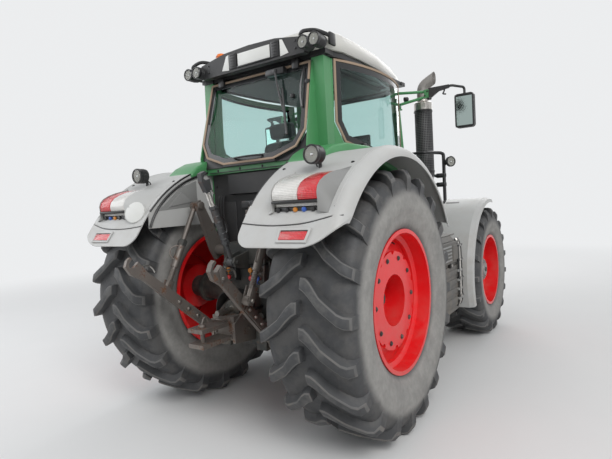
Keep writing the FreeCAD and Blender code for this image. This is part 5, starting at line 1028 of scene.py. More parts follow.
def pad(low, high, crown=0.02, channels=(), lean=0.0, power=5.0):
    """A stuffed cushion: a crowned closed form whose sides pull in, with sewn channels across."""
    bm = fresh()
    bmesh.ops.create_cube(bm, size=2.0)
    bmesh.ops.subdivide_edges(bm, edges=bm.edges[:], cuts=20, use_grid_fill=True)
    low, high = Vector(low), Vector(high)
    middle, half = (low + high) / 2, (high - low) / 2
    for v in bm.verts:
        a, b, c = v.co
        shape = (abs(a) ** power + abs(b) ** power + abs(c) ** power) ** (1 / power)
        a, b, c = a / shape, b / shape, c / shape
        swell = (1 - a * a) * (1 - b * b)
        groove = sum(math.exp(-(((b if axis == "y" else a) - at) / 0.035) ** 2) for axis, at in channels)
        lift = c + (crown * swell - 0.012 * groove * abs(c)) / half.z * (1 if c > 0 else -0.35)
        pull = 1 - 0.035 * (1 - c * c) * ((1 - b * b) if abs(a) > abs(b) else (1 - a * a))
        v.co = (middle.x + a * half.x * pull, middle.y + b * half.y * pull, middle.z + lift * half.z)
    if lean:
        turned(bm, lean, "X", middle)
    bmesh.ops.recalc_face_normals(bm, faces=bm.faces)
    return bm


def piping(low, high, level=0.0, lean=0.0, power=5.0):
    """The sewn cord round a cushion's middle."""
    low, high = Vector(low), Vector(high)
    middle, half = (low + high) / 2, (high - low) / 2
    spots = []
    for k in range(40):
        turn = math.tau * k / 40
        a, b = math.cos(turn), math.sin(turn)
        shape = (abs(a) ** power + abs(b) ** power + abs(level) ** power) ** (1 / power)
        spots.append(Vector((middle.x + a / shape * half.x * 0.97, middle.y + b / shape * half.y * 0.97,
                             middle.z + level * half.z)))
    spots.append(spots[0])
    bm = piped(spots, 0.0042, 6)
    if lean:
        turned(bm, lean, "X", middle)
    return bm


def seat(crown):
    """Cushion, back and headrest, each a padded piece of cloth with piping."""
    y = REAR_AXLE - 0.62
    cushion = Work("seat_cushion")
    low, high = (-0.255, y - 0.285, 1.880), (0.255, y + 0.235, 2.005)
    cushion.add("cloth", pad(low, high, crown, (("x", -0.55), ("x", 0.55), ("y", 0.15)), -3.0))
    cushion.add("seal", piping(low, high, 0.35, -3.0))
    piece = cushion.done("chassis", "seat", ["seat"], 60.0)
    back = Work("seat_back")
    low, high = (-0.245, -0.21, -0.065), (0.245, 0.21, 0.065)
    swell = pad(low, high, 0.018, (("x", -0.55), ("x", 0.55), ("y", -0.2)))
    stand = swung((0, y + 0.285, 2.235), 80)
    cord = piping(low, high)
    back.add("cloth", placed(swell, stand)).add("seal", placed(cord, stand))
    back.done("chassis", "seat", (), 60.0)
    head = Work("seat_headrest")
    rest = pad((-0.135, -0.075, -0.045), (0.135, 0.075, 0.045), 0.008)
    head.add("cloth", placed(rest, swung((0, y + 0.345, 2.530), 80)))
    for x in (-0.05, 0.05):
        head.add("bright", piped([(x, y + 0.325, 2.41), (x, y + 0.335, 2.49)], 0.006))
    head.done("chassis", "seat", (), 60.0)


def cab_inside():
    work = Work("cab_controls")
    y = REAR_AXLE - 1.24
    tilt = swung((0, y, 2.215), -28)
    for angle in (90, 210, 330):
        turn = math.radians(angle)
        spoke = cuboid((0.02, -0.016, -0.006), (0.198, 0.016, 0.006), 0.005)
        work.add("trim", placed(spoke, tilt @ Matrix.Rotation(turn, 4, "Z")))
    work.add("trim", placed(drum((0, 0, -0.02), 0.045, 0.052, "z", 0.044, 40, 0.008), tilt))
    work.add("satin", placed(drum((0.17, 0, 0.01), 0.05, 0.022, "z", 0.024, 24, 0.008), tilt))
    work.add("trim", cuboid((-0.11, REAR_AXLE - 1.43, 2.10), (0.11, REAR_AXLE - 1.34, 2.23), 0.02, 4))
    work.add("screen", cuboid((-0.095, REAR_AXLE - 1.342, 2.115), (0.095, REAR_AXLE - 1.334, 2.215), 0.004))
    for x in (-0.17, 0.17):
        stalk = [(x * 0.35, y - 0.02, 2.16), (x * 0.9, y + 0.01, 2.18), (x * 1.1, y + 0.03, 2.20)]
        work.add("satin", piped(stalk, 0.008))
    arm_y = REAR_AXLE - 0.62
    work.add("trim", cuboid((-0.44, arm_y - 0.36, 2.215), (-0.30, arm_y + 0.14, 2.265), 0.020, 4))
    work.add("satin", drum((-0.40, arm_y - 0.30, 2.262), 0.10, 0.018, (0.1, -0.25, 1.0), 0.024, 24, 0.008))
    bracket = [(-0.42, arm_y - 0.34, 2.24), (-0.44, arm_y - 0.40, 2.30), (-0.44, arm_y - 0.42, 2.36)]
    work.add("satin", piped(bracket, 0.010))
    work.add("satin", cuboid((-0.54, arm_y - 0.455, 2.35), (-0.34, arm_y - 0.425, 2.50), 0.010))
    work.add("screen", cuboid((-0.53, arm_y - 0.426, 2.362), (-0.35, arm_y - 0.421, 2.488), 0.003))
    for k, finish in enumerate(("beacon", "amber", "blue", "lens_red")):
        work.add(finish, drum((-0.345, arm_y - 0.22 + 0.045 * k, 2.262), 0.022, 0.010, "z"))
    for x in (-0.20, -0.09, 0.16):
        plate = cuboid((x - 0.035, REAR_AXLE - 1.46, 1.50), (x + 0.035, REAR_AXLE - 1.445, 1.62), 0.005)
        turned(plate, -30, "X", (x, REAR_AXLE - 1.45, 1.50))
        work.add("satin", plate)
    work.add("trim", cuboid((-0.50, REAR_AXLE - 1.46, 1.445), (0.50, REAR_AXLE - 0.30, 1.452), 0.002))
    work.add("trim", cuboid((-0.53, REAR_AXLE - 1.40, 2.985), (0.53, REAR_AXLE - 0.10, 3.040), 0.02, 4))
    work.add("trim", cuboid((0.30, arm_y - 0.12, 1.90), (0.42, arm_y + 0.22, 1.98), 0.03, 4))
    work.done("chassis", "trim")


# Hood, grille and boxes

def hood_fittings():
    work = Work("hood_front_fittings")
    nose = REAR_AXLE - 4.230
    for side in SIDES.values():
        x0, x1 = side * 0.152 - 0.094, side * 0.152 + 0.094
        high, low = (nose - 0.0145, 1.517), (nose - 0.0085, 1.450)
        work.add("lamp_glass", extruded([(x0, *high), (x1, *high), (x1, *low), (x0, *low)], (0, -0.004, 0), 0.001))
        for k in range(2):
            spot = (side * (0.105 + 0.094 * k), nose - 0.008, 1.484)
            work.add("chrome", drum(spot, 0.006, 0.030, (0, -1, 0.1), 0.034, 32, 0.001))
    for k in range(34):
        x = -0.255 + 0.510 * k / 33
        work.add("satin", cuboid((x - 0.0015, nose + 0.030, 1.100), (x + 0.0015, nose + 0.034, 1.430), 0.0))
    surround = [(x, nose + 0.019, z) for x, z in ((-0.296, 1.075), (0.296, 1.075), (0.296, 1.440), (-0.296, 1.440))]
    work.add("satin", frame_of(surround, 0.028, (0, -0.006, 0), 0.003))
    work.done("hood", "box")
    work = Work("hood_seams")
    for side in SIDES.values():
        for y in (-1.83, -3.05, -3.90):
            t = (y + 4.23) / 2.43
            wide = 0.296 + (0.400 - 0.296) * min(1.0, t * 1.15 + 0.02)
            spots = [(side * (wide * 0.97 - 0.004), REAR_AXLE + y, 1.56), (side * (wide * 0.99), REAR_AXLE + y, 1.66)]
            work.add("black", piped(spots, 0.003, 6))
        work.add("satin", cuboid((side * 0.345 - 0.012, REAR_AXLE - 2.35, 1.555),
                                 (side * 0.345 + 0.020, REAR_AXLE - 2.25, 1.585), 0.006))
    work.done("hood", "green_paint")


def box_fittings():
    rear, front = REAR_AXLE - 1.150, REAR_AXLE - 1.965
    work = Work("tool_box_fittings")

    def on_face(low, high, proud, finish, round_by=0.006):
        (y0, z0), (y1, z1) = low, high
        work.add(finish, cuboid((-1.1505 - proud, front + y0, z0), (-1.149, front + y1, z1), round_by, 3))

    on_face((0.06, 1.095), (0.76, 1.325), 0.022, "box", 0.016)
    on_face((0.05, 0.615), (0.77, 1.060), 0.014, "box", 0.012)
    on_face((0.10, 1.120), (0.34, 1.290), 0.034, "box", 0.010)
    for k in range(5):
        on_face((0.38, 1.128 + 0.036 * k), (0.74, 1.146 + 0.036 * k), 0.030, "grey_and_painted_shade", 0.004)
    for k in range(4):
        z = 0.655 + 0.102 * k
        on_face((0.22, z), (0.74, z + 0.060), 0.024, "box", 0.008)
        on_face((0.055, z + 0.018), (0.205, z + 0.046), 0.040, "grey_and_painted_shade", 0.005)
    for y in (0.075, 0.125, 0.175):
        pipe = [(-1.150, front + y, 0.600), (-1.180, front + y, 0.625), (-1.183, front + y, 0.800),
                (-1.183, front + y, 1.150), (-1.178, front + y, 1.290), (-1.145, front + y, 1.345)]
        work.add("bright" if y == 0.125 else "satin", piped(pipe, 0.0105, 10))
    for z in (0.70, 0.90, 1.10, 1.26):
        work.add("satin", cuboid((-1.196, front + 0.050, z), (-1.150, front + 0.200, z + 0.022), 0.004))
        work.add("bright", bolt((-1.196, front + 0.150, z + 0.011), (-1, 0, 0), 0.008, 0.007))
    for y in (0.42, 0.66):
        on_face((y - 0.025, 1.052), (y + 0.025, 1.104), 0.034, "satin", 0.005)
        work.add("bright", piped([(-1.186, front + y - 0.012, 1.09), (-1.189, front + y, 1.05),
                                  (-1.186, front + y + 0.012, 1.09)], 0.0035))
    work.add("box", cuboid((-1.10, front + 0.02, 1.378), (-0.36, rear - 0.03, 1.392), 0.008, 3))
    work.add("grey_and_painted_shade", cuboid((-1.100, rear - 0.004, 0.640), (-0.950, rear + 0.026, 1.340), 0.014, 3))
    for z in (0.70, 0.86, 1.02, 1.18):
        work.add("satin", cuboid((-1.085, rear + 0.022, z), (-0.965, rear + 0.030, z + 0.080), 0.004))
    work.done("chassis", "box")
    work = Work("step_and_tank_fittings")
    for k in range(4):
        up = 0.530 + 0.2733 * k + 0.026
        lead = 1.190 - 0.026 * k
        for row in range(2):
            for tooth in range(12):
                y = rear - 0.545 + 0.035 * tooth
                x = lead - 0.045 - 0.075 * row
                work.add("bright", drum((x, y, up - 0.001), 0.005, 0.010, "z", 0.007, 12, 0.0))
        work.add("satin", cuboid((lead - 0.012, rear - 0.560, up - 0.030),
                                 (lead + 0.003, rear - 0.140, up + 0.004), 0.003))
    work.add("satin", drum((0.72, rear - 0.10, 1.375), 0.045, 0.060, "z", 0.052, 40, 0.006))
    work.add("satin", cuboid((0.895, front + 0.22, 1.300), (0.903, rear - 0.70, 1.330), 0.003))
    for k in range(3):
        z = 0.78 + 0.16 * k
        work.add("box", cuboid((0.899, front + 0.16, z), (0.906, front + 0.24, z + 0.05), 0.003))
    work.done("chassis", "box")


def exhaust():
    """Silencer, perforated shield with a plain band, clamps and the cut neck."""
    work = Work("exhaust_pipe")
    x, y = -0.82, REAR_AXLE - 1.880
    can = [(1.480, 0.0), (1.480, 0.060), (1.540, 0.086), (2.040, 0.086), (2.060, 0.0985), (2.072, 0.0985),
           (2.072, 0.086), (2.860, 0.086), (2.860, 0.0)]
    work.add("barrel", spun(can, (x, y, 0), "z", 48, False))
    shield = [(2.060, 0.092), (2.060, 0.098), (2.812, 0.098), (2.812, 0.092)]
    work.add("stack", spun(shield, (x, y, 0), "z", 64))
    band = [(2.808, 0.090), (2.808, 0.100), (2.885, 0.100), (2.896, 0.088), (2.900, 0.070), (2.905, 0.064),
            (2.930, 0.064), (2.930, 0.058), (2.860, 0.058)]
    work.add("bright", spun(band, (x, y, 0), "z", 64))
    neck = piped([(x, y, 2.900), (x, y, 3.000), (x, y - 0.002, 3.060), (x - 0.050, y - 0.012, 3.108),
                  (x - 0.130, y - 0.030, 3.150), (x - 0.240, y - 0.050, 3.222)], 0.062, 28, 4, False)
    bmesh.ops.bisect_plane(neck, geom=neck.verts[:] + neck.edges[:] + neck.faces[:], plane_co=(x - 0.130, 0, 0),
                           plane_no=(-1, 0, 0), clear_outer=True)
    bmesh.ops.recalc_face_normals(neck, faces=neck.faces)
    bmesh.ops.solidify(neck, geom=neck.faces[:], thickness=0.004)
    work.add("neck", neck)
    for z in (2.10, 2.78, 1.60):
        wide = 0.0995 if z > 2.05 else 0.0875
        work.add("satin", spun([(0, wide), (0.006, wide + 0.004), (0.020, wide + 0.004), (0.026, wide)],
                               (x, y, z), "z", 48))
        work.add("satin", bolt((x + wide + 0.004, y - 0.012, z + 0.013), "y", 0.007, 0.024))
    work.add("cast", cuboid((x + 0.070, y - 0.030, 1.500), (-0.222, y + 0.030, 1.540), 0.004))
    work.done("chassis", "exhaust", ["exhaust_stack"])


def mirror_fittings():
    work = Work("mirror_fittings")
    y = REAR_AXLE - 1.800
    for side in SIDES.values():
        x = side * 1.310
        work.add("mirror", cuboid((x - 0.083, y + 0.0305, 2.565), (x + 0.083, y + 0.0335, 2.870), 0.0))
        work.add("satin", frame_of([(x - 0.097, y + 0.030, 2.550), (x + 0.097, y + 0.030, 2.550),
                                    (x + 0.097, y + 0.030, 2.890), (x - 0.097, y + 0.030, 2.890)], 0.014,
                                   (0, 0.008, 0), 0.003))
        arm_y = REAR_AXLE - 1.545 - 0.070
        work.add("satin", piped([(side * 1.16, arm_y, 2.955), (side * 1.15, arm_y, 2.915), (side * 1.13, arm_y, 2.895),
                                 (side * 1.17, arm_y, 2.89)], 0.008))
        work.add("satin", drum((side * 0.99, arm_y, 2.862), 0.020, 0.024, "z"))
        for dx in (-0.014, 0.014):
            work.add("satin", bolt((side * (0.965 + dx), arm_y + 0.030, 2.925 + dx * 1.5), "y", 0.007, 0.005))
        work.add("satin", drum((side * 0.72, REAR_AXLE - 1.575, 2.900), 0.05, 0.028, (side, 0, 0), 0.020, 24, 0.008))
    work.done("chassis", "black_metal")


# Front end

def front_fittings():
    for word, side in SIDES.items():
        work = Work(f"front_fender_{word}_fittings")
        slot = []
        for x, angle in ((0.76, 71.0), (0.93, 71.0), (0.93, 73.4), (0.76, 73.4)):
            lie = math.radians(angle)
            slot.append(Vector((side * x, FRONT_AXLE + 0.949 * math.cos(lie), FRONT_HUB + 0.949 * math.sin(lie))))
        work.add("black", extruded(slot, (0, 0.0011, 0.0035), 0.0))
        for x in (0.76, 1.02):
            a = math.radians(25)
            spot = (side * x, FRONT_AXLE + 0.950 * math.cos(a), FRONT_HUB + 0.950 * math.sin(a))
            work.add("satin", bolt(spot, (0, math.cos(a), math.sin(a)), 0.010, 0.006))
        run = []
        for k in range(12):
            a = math.radians(-18 + 10 * k)
            run.append((side * 0.703, FRONT_AXLE + 0.948 * math.cos(a), FRONT_HUB + 0.948 * math.sin(a)))
        work.add("satin", piped(run, 0.008))
        work.done(f"knuckle_{word}", "fender")
        work = Work(f"knuckle_{word}_fittings")
        bolt_ring(work, "cast", (side * 0.866, FRONT_AXLE, FRONT_HUB), 0.088, 8, (0.008, 0.010), -side)
        for z in (FRONT_HUB + 0.162, FRONT_HUB - 0.180):
            work.add("cast", drum((side * 0.82, FRONT_AXLE, z), 0.018, 0.042, "z", sides=6))
        work.done(f"knuckle_{word}", "frame_metal")
    work = Work("front_axle_fittings")
    for side in SIDES.values():
        for x, up in ((0.30, 0.044), (0.52, 0.045)):
            for dy in (-0.05, 0.05):
                work.add("cast", bolt((side * x, FRONT_AXLE + dy, FRONT_HUB + up), "z", 0.010, 0.008))
        bellow = []
        for k in range(9):
            bellow += [(0.010 * k * 2, 0.026), (0.010 * (k * 2 + 1), 0.036)]
        bm = spun([(0.0, 0.018)] + bellow + [(0.18, 0.018)], (0, 0, 0), "x", 24, False)
        bmesh.ops.scale(bm, vec=(side * 0.35, 1, 1), verts=bm.verts)
        bmesh.ops.translate(bm, vec=(side * 0.202, FRONT_AXLE + 0.190, 0.724), verts=bm.verts)
        bmesh.ops.recalc_face_normals(bm, faces=bm.faces)
        work.add("satin", bm)
    work.add("cast", spun([(-0.10, 0.0), (-0.10, 0.08), (-0.06, 0.13), (0.06, 0.13), (0.10, 0.08), (0.10, 0.0)],
                          (0.0, FRONT_AXLE + 0.01, FRONT_HUB - 0.02), "x", 40, False))
    work.done("chassis", "frame_metal")
    work = Work("front_bracket_fittings")
    nose = REAR_AXLE - 4.130
    for x in (-0.20, -0.10, 0.10, 0.20):
        for z in (0.76, 0.97):
            work.add("cast", bolt((x, nose - 0.060, z), (0, -1, 0), 0.014, 0.012))
    y = REAR_AXLE - 4.27
    work.add("bright", drum((0, y, 0.758), 0.160, 0.0185, "z", sides=32))
    work.add("bright", piped([(0, y, 0.915), (0, y - 0.02, 0.945), (0.05, y - 0.03, 0.945), (0.06, y - 0.02, 0.915)],
                             0.006))
    work.done("chassis", "linkage")


# Rear linkage and hitch: the places and angles of the moving parts at rest

LINK_PIVOT, LINK_SWING, LINK_SPLAY = (0.300, REAR_AXLE + 0.400, 0.690), 43, math.atan2(0.150, 1.085)
ARM_PIVOT, ARM_SWING, ARM_LONG = Vector((0, REAR_AXLE + 0.300, 1.450)), 65.9, 0.450
ROD_SWING, ROD_EYE = -61.5, 0.8077
TOP_PIVOT, TOP_SWING = (0, REAR_AXLE + 0.534, 1.375), 69.4


def lower_link_fittings(word, side):
    x, y, z = LINK_PIVOT
    work = Work(f"lower_link_{word}_fittings",
                swung((side * x, y, z), LINK_SWING) @ Matrix.Rotation(-side * LINK_SPLAY, 4, "Z"))
    work.add("steel", drum((-0.030, 0, 0), 0.060, 0.052, "x", sides=40))
    work.add("bright", drum((-0.036, 0, 0), 0.072, 0.028, "x", sides=32))
    plate = [(0.0185 * side, y, z) for y, z in ((0.30, -0.034), (0.60, -0.034), (0.60, 0.034), (0.30, 0.034))]
    work.add("steel", extruded(plate, (0.010 * side, 0, 0), 0.004))
    for y in (0.34, 0.45, 0.56):
        work.add("bright", bolt((0.028 * side, y, 0.0), (side, 0, 0), 0.013, 0.012))
        work.add("bright", bolt((-0.018 * side, y, 0.0), (-side, 0, 0), 0.013, 0.012))
    claw = [(0.0185 * side, y, z) for y, z in (
        (0.93, 0.030), (1.03, 0.060), (1.055, 0.052), (1.050, 0.010), (0.97, -0.030))]
    work.add("steel", extruded(claw, (0.008 * side, 0, 0), 0.003))
    work.add("bright", drum((0.0, 0.985, 0.0), 0.035, 0.012, (side, 0, 0), sides=20))
    latch = [(0.022 * side, 1.00, 0.055), (0.030 * side, 0.96, 0.100), (0.030 * side, 0.90, 0.105),
             (0.024 * side, 0.87, 0.085)]
    work.add("bright", piped(latch, 0.006))
    work.add("cast", drum((0.0, 0.664, 0.017), 0.026, 0.028, (side, 0, 0), sides=32))
    work.done("lower_links", "linkage")


def link_fittings():
    for word, side in SIDES.items():
        lower_link_fittings(word, side)

    work = Work("lift_arm_fittings", swung(ARM_PIVOT, ARM_SWING))
    for side in SIDES.values():
        work.add("steel", drum((side * 0.405, 0, 0), 0.020, 0.060, (side, 0, 0), sides=40))
        work.add("bright", drum((side * 0.424, 0, 0), 0.010, 0.034, (side, 0, 0), sides=6))
        work.add("steel", drum((side * 0.366, ARM_LONG, 0), 0.042, 0.034, (side, 0, 0), sides=32))
        rib = [(side * 0.4025, y, z) for y, z in ((0.06, -0.042), (0.40, -0.020), (0.40, 0.020), (0.06, 0.042))]
        work.add("steel", extruded(rib, (side * 0.008, 0, 0), 0.004))
    work.done("lift_arms", "linkage")

    raised = math.radians(ARM_SWING)
    head = ARM_PIVOT + Vector((0, ARM_LONG * math.cos(raised), ARM_LONG * math.sin(raised)))
    work = Work("lift_rod_fittings", swung(head, ROD_SWING))
    for side in SIDES.values():
        x = side * 0.455
        thread = [(0, 0.0225), (0.004, 0.0255), (0.008, 0.0225)]
        for k in range(10):
            work.add("steel", spun(thread, (x, 0.60 + 0.0125 * k, 0), "y", 24))
        work.add("cast", spun([(0.0, 0.033), (0.01, 0.040), (0.05, 0.040), (0.06, 0.033)], (x, 0.33, 0), "y", 6))
        grip = [(x, 0.40, 0.030), (x + side * 0.03, 0.41, 0.07), (x + side * 0.03, 0.50, 0.075), (x, 0.52, 0.032)]
        work.add("steel", piped(grip, 0.006))
        work.add("bright", bolt((x + side * 0.0245, 0, 0), (side, 0, 0), 0.020, 0.010))
        work.add("cast", drum((side * 0.421, ROD_EYE, 0), 0.078, 0.017, (side, 0, 0), sides=28))
        work.add("bright", bolt((side * 0.499, ROD_EYE, 0), (side, 0, 0), 0.013, 0.008))
        for sign in (-1, 1):
            cheek = [(x + sign * 0.0275, y, z) for y, z in (
                (0.70, -0.030), (0.70, 0.030), (0.84, 0.030), (0.84, -0.030))]
            work.add("steel", extruded(cheek, (sign * 0.007, 0, 0), 0.010))
    work.done("lift_rods", "linkage")

    work = Work("top_link_fittings", swung(TOP_PIVOT, TOP_SWING))
    thread = [(0, 0.0205), (0.0035, 0.0235), (0.007, 0.0205)]
    for k in range(12):
        work.add("bright", spun(thread, (0, 0.505 + 0.010 * k, 0), "y", 24))
    for y in (0.165, 0.475):
        work.add("barrel", spun([(0, 0.030), (0.006, 0.036), (0.026, 0.036), (0.032, 0.030)], (0, y, 0), "y", 6))
    grip = [(0.0, 0.24, 0.030), (0.0, 0.25, 0.075), (0.0, 0.38, 0.080), (0.0, 0.40, 0.030)]
    work.add("satin", piped(grip, 0.007))
    work.add("bright", piped([(0.020, 0.66, 0.030), (0.032, 0.64, 0.075), (0.032, 0.58, 0.085)], 0.005))
    for k in range(5):
        work.add("barrel", spun([(0, 0.0302), (0.004, 0.033), (0.008, 0.0302)], (0, 0.215 + 0.05 * k, 0), "y", 24))
    work.done("top_link", "linkage")


COUPLER_CAPS = ("lens_red", "blue", "amber", "satin")


def hitch_fittings():
    work = Work("coupler_caps")
    face, low = REAR_AXLE + 0.350, 1.190
    for side in SIDES.values():
        for k in range(4):
            x, up = side * (0.124 + 0.072 * (k % 2)), low + 0.040 + 0.066 * (k // 2)
            collar = [(0, 0.0215), (0.006, 0.0245), (0.020, 0.0245), (0.026, 0.0215)]
            work.add("bright", spun(collar, (x, face + 0.066, up), "y", 32))
            work.add(COUPLER_CAPS[k], drum((x, face + 0.099, up), 0.014, 0.023, "y", 0.019, 32))
            work.add(COUPLER_CAPS[k], piped([(x, face + 0.105, up - 0.02), (x, face + 0.115, up - 0.045),
                                             (x, face + 0.075, up - 0.05)], 0.0035))
        work.add("satin", cuboid((side * 0.16 - 0.083, face + 0.002, low + 0.149),
                                 (side * 0.16 + 0.083, face + 0.060, low + 0.156), 0.003))
    work.done("chassis", "linkage")

    work = Work("pto_guard")
    hoop = [(0.100, 0.148), (0.100, 0.154), (0.245, 0.158), (0.245, 0.152)]
    hoop = spun(hoop, (0, REAR_AXLE + 0.350, 0.985), "y", 64)
    bmesh.ops.bisect_plane(hoop, geom=hoop.verts[:] + hoop.edges[:] + hoop.faces[:], plane_co=(0, 0, 0.960),
                           plane_no=(0, 0, -1), clear_outer=True)
    ends = [e for e in hoop.edges if e.is_boundary]
    bmesh.ops.holes_fill(hoop, edges=ends, sides=0)
    work.add("satin", hoop)
    for side in SIDES.values():
        work.add("satin", cuboid((side * 0.150 - 0.006, REAR_AXLE + 0.330, 0.962),
                                 (side * 0.150 + 0.006, REAR_AXLE + 0.470, 0.985), 0.003))
    for k in range(6):
        turn = math.tau * k / 6
        spot = (0.064 * math.sin(turn), REAR_AXLE + 0.570, 0.985 + 0.064 * math.cos(turn))
        work.add("cast", bolt(spot, "y", 0.007, 0.006))
    work.done("chassis", "trim")

    work = Work("pto_splines")
    for k in range(20):
        turn = math.tau * k / 20
        tooth = cuboid((-0.0016, 0, 0.0), (0.0016, 0.120, 0.0024), 0.0)
        bmesh.ops.translate(tooth, vec=(0, 0, 0.0215), verts=tooth.verts)
        turned(tooth, math.degrees(turn), "Y")
        bmesh.ops.translate(tooth, vec=(0, REAR_AXLE + 0.622, 0.985), verts=tooth.verts)
        work.add("bright", tooth)
    work.done("pto_shaft", "linkage")

    work = Work("tow_jaw_fittings")
    y = REAR_AXLE + 0.910
    work.add("steel", drum((0, y, 0.752), 0.190, 0.0185, "z", sides=32))
    work.add("steel", drum((0, y, 0.919), 0.020, 0.034, "z", 0.028, 32))
    work.add("steel", piped([(0.0, y, 0.936), (0.0, y - 0.012, 0.985), (0.0, y - 0.055, 0.992),
                             (0.0, y - 0.065, 0.945)], 0.0065))
    for side in SIDES.values():
        for k in range(4):
            spot = (side * 0.132, REAR_AXLE + 0.42 + 0.05 * k, 0.83 + 0.09 * (k % 2))
            work.add("steel", bolt(spot, (side, 0, 0), 0.011, 0.010))
        for z in (0.78, 0.82):
            work.add("steel", bolt((side * 0.085, REAR_AXLE + 0.682, z), "y", 0.012, 0.010))
    work.add("steel", piped([(x, REAR_AXLE + y, z) for x, y, z in (
        (-0.06, 0.70, 0.925), (-0.06, 0.78, 0.950), (0.06, 0.78, 0.950), (0.06, 0.70, 0.925))], 0.007))
    work.done("chassis", "linkage")

    work = Work("transmission_fittings")
    for side in SIDES.values():
        bolt_ring(work, "cast", (side * 0.846, REAR_AXLE, REAR_HUB), 0.136, 10, (0.010, 0.012), -side)
        bolt_ring(work, "cast", (side * 0.31, REAR_AXLE, REAR_HUB), 0.170, 12, (0.010, 0.012), side)
        for k in range(6):
            work.add("cast", cuboid((side * 0.252 - 0.006, REAR_AXLE - 0.45 - 0.22 * k, 0.66),
                                    (side * 0.252 + 0.006, REAR_AXLE - 0.43 - 0.22 * k, 1.24), 0.004))
        for k in range(5):
            work.add("cast", bolt((side * 0.235, REAR_AXLE + 0.350, 0.66 + 0.14 * k), "y", 0.010, 0.008))
        work.add("cast", drum((side * 0.170, REAR_AXLE + 0.395, 0.90), 0.012, 0.03, "y", sides=24))
    work.done("chassis", "frame_metal")

    work = Work("bulkhead_fittings")
    y = REAR_AXLE + 0.150
    for side in SIDES.values():
        for k in range(4):
            work.add("satin", bolt((side * 0.50, y, 1.52 + 0.17 * k), "y", 0.010, 0.007))
        work.add("black", cuboid((side * 0.36 - 0.10, y - 0.001, 1.50), (side * 0.36 + 0.10, y + 0.010, 1.88),
                                 0.010, 3))
    work.add("black", cuboid((-0.20, y - 0.001, 1.52), (0.20, y + 0.018, 1.86), 0.016, 3))
    for k in range(5):
        work.add("satin", cuboid((-0.16, y + 0.016, 1.56 + 0.055 * k), (0.16, y + 0.024, 1.58 + 0.055 * k), 0.004))
    work.done("chassis", "box")

    work = Work("valve_block")
    y = REAR_AXLE + 0.150
    work.add("steel", cuboid((-0.150, y + 0.018, 1.700), (0.090, y + 0.085, 1.800), 0.010, 3))
    work.add("barrel", cuboid((-0.190, y + 0.018, 1.815), (0.150, y + 0.060, 1.880), 0.010, 3))
    for k in range(5):
        x = -0.130 + 0.048 * k
        work.add("bright", drum((x, y + 0.085, 1.750), 0.020, 0.014, "y", sides=6))
        work.add("steel", drum((x, y + 0.050, 1.800), 0.030, 0.015, "z", sides=24))
        work.add("satin", drum((x, y + 0.050, 1.826), 0.040, 0.019, "z", 0.016, 24))
        bend = [(x, y + 0.050, 1.700), (x, y + 0.052, 1.660), (x * 1.4, y + 0.060, 1.600),
                (x * 1.9, y + 0.060, 1.540), (x * 1.9, y + 0.050, 1.500)]
        work.add("barrel" if k % 2 else "steel", piped(bend, 0.009, 10))
    for side in SIDES.values():
        for k in range(3):
            x = side * (0.40 + 0.03 * k)
            work.add("satin", piped([(x, y + 0.016, 1.94), (x, y + 0.030, 1.90), (x, y + 0.034, 1.70),
                                     (x - side * 0.03, y + 0.030, 1.52), (x - side * 0.03, y + 0.010, 1.47)], 0.010, 10))
    work.done("chassis", "linkage")

    work = Work("engine_fittings")
    for side in SIDES.values():
        for k in range(6):
            y = REAR_AXLE - 1.90 - 0.13 * k
            work.add("engine", cuboid((side * 0.212, y - 0.04, 1.36), (side * 0.235, y + 0.04, 1.62), 0.012, 3))
            work.add("cast", drum((side * 0.213, y, 1.30), 0.020, 0.022, (side, 0, 0), sides=6))
        line = [(side * x, REAR_AXLE - y, 1.50) for x, y in (
            (0.232, 1.86), (0.245, 2.0), (0.245, 2.5), (0.232, 2.62))]
        work.add("cast", piped(line, 0.022, 12))
    work.done("chassis", "engine")


# The scene's stage, light and camera

BACKDROP = (0.84, 0.85, 0.86)
CAMERA_PLACE = (-2.719, 4.927, 1.831)
CAMERA_TURN = {"yaw": -0.60197, "pitch": -0.05669, "roll": -0.05643}
CAMERA_FOCAL = 468.2 / 612


def camera_matrix():
    yaw, pitch, roll = CAMERA_TURN["yaw"], CAMERA_TURN["pitch"], CAMERA_TURN["roll"]
    ahead = Vector((-math.sin(yaw) * math.cos(pitch), -math.cos(yaw) * math.cos(pitch), math.sin(pitch)))
    right = ahead.cross(Vector((0, 0, 1))).normalized()
    up = right.cross(ahead)
    level, stand = right * math.cos(roll) + up * math.sin(roll), up * math.cos(roll) - right * math.sin(roll)
    turn = Matrix((level, stand, -ahead)).transposed().to_4x4()
    return Matrix.Translation(CAMERA_PLACE) @ turn


def area_lamp(name, place, target, size, energy, colour=(1, 1, 1)):
    lamp = bpy.data.lights.new(name, "AREA")
    lamp.size, lamp.energy, lamp.color = size, energy, colour
    holder = bpy.data.objects.new(name, lamp)
    bpy.context.scene.collection.objects.link(holder)
    holder.visible_camera = holder.visible_transmission = False
    holder.location = place
    holder.rotation_euler = (Vector(target) - Vector(place)).to_track_quat("-Z", "Y").to_euler()


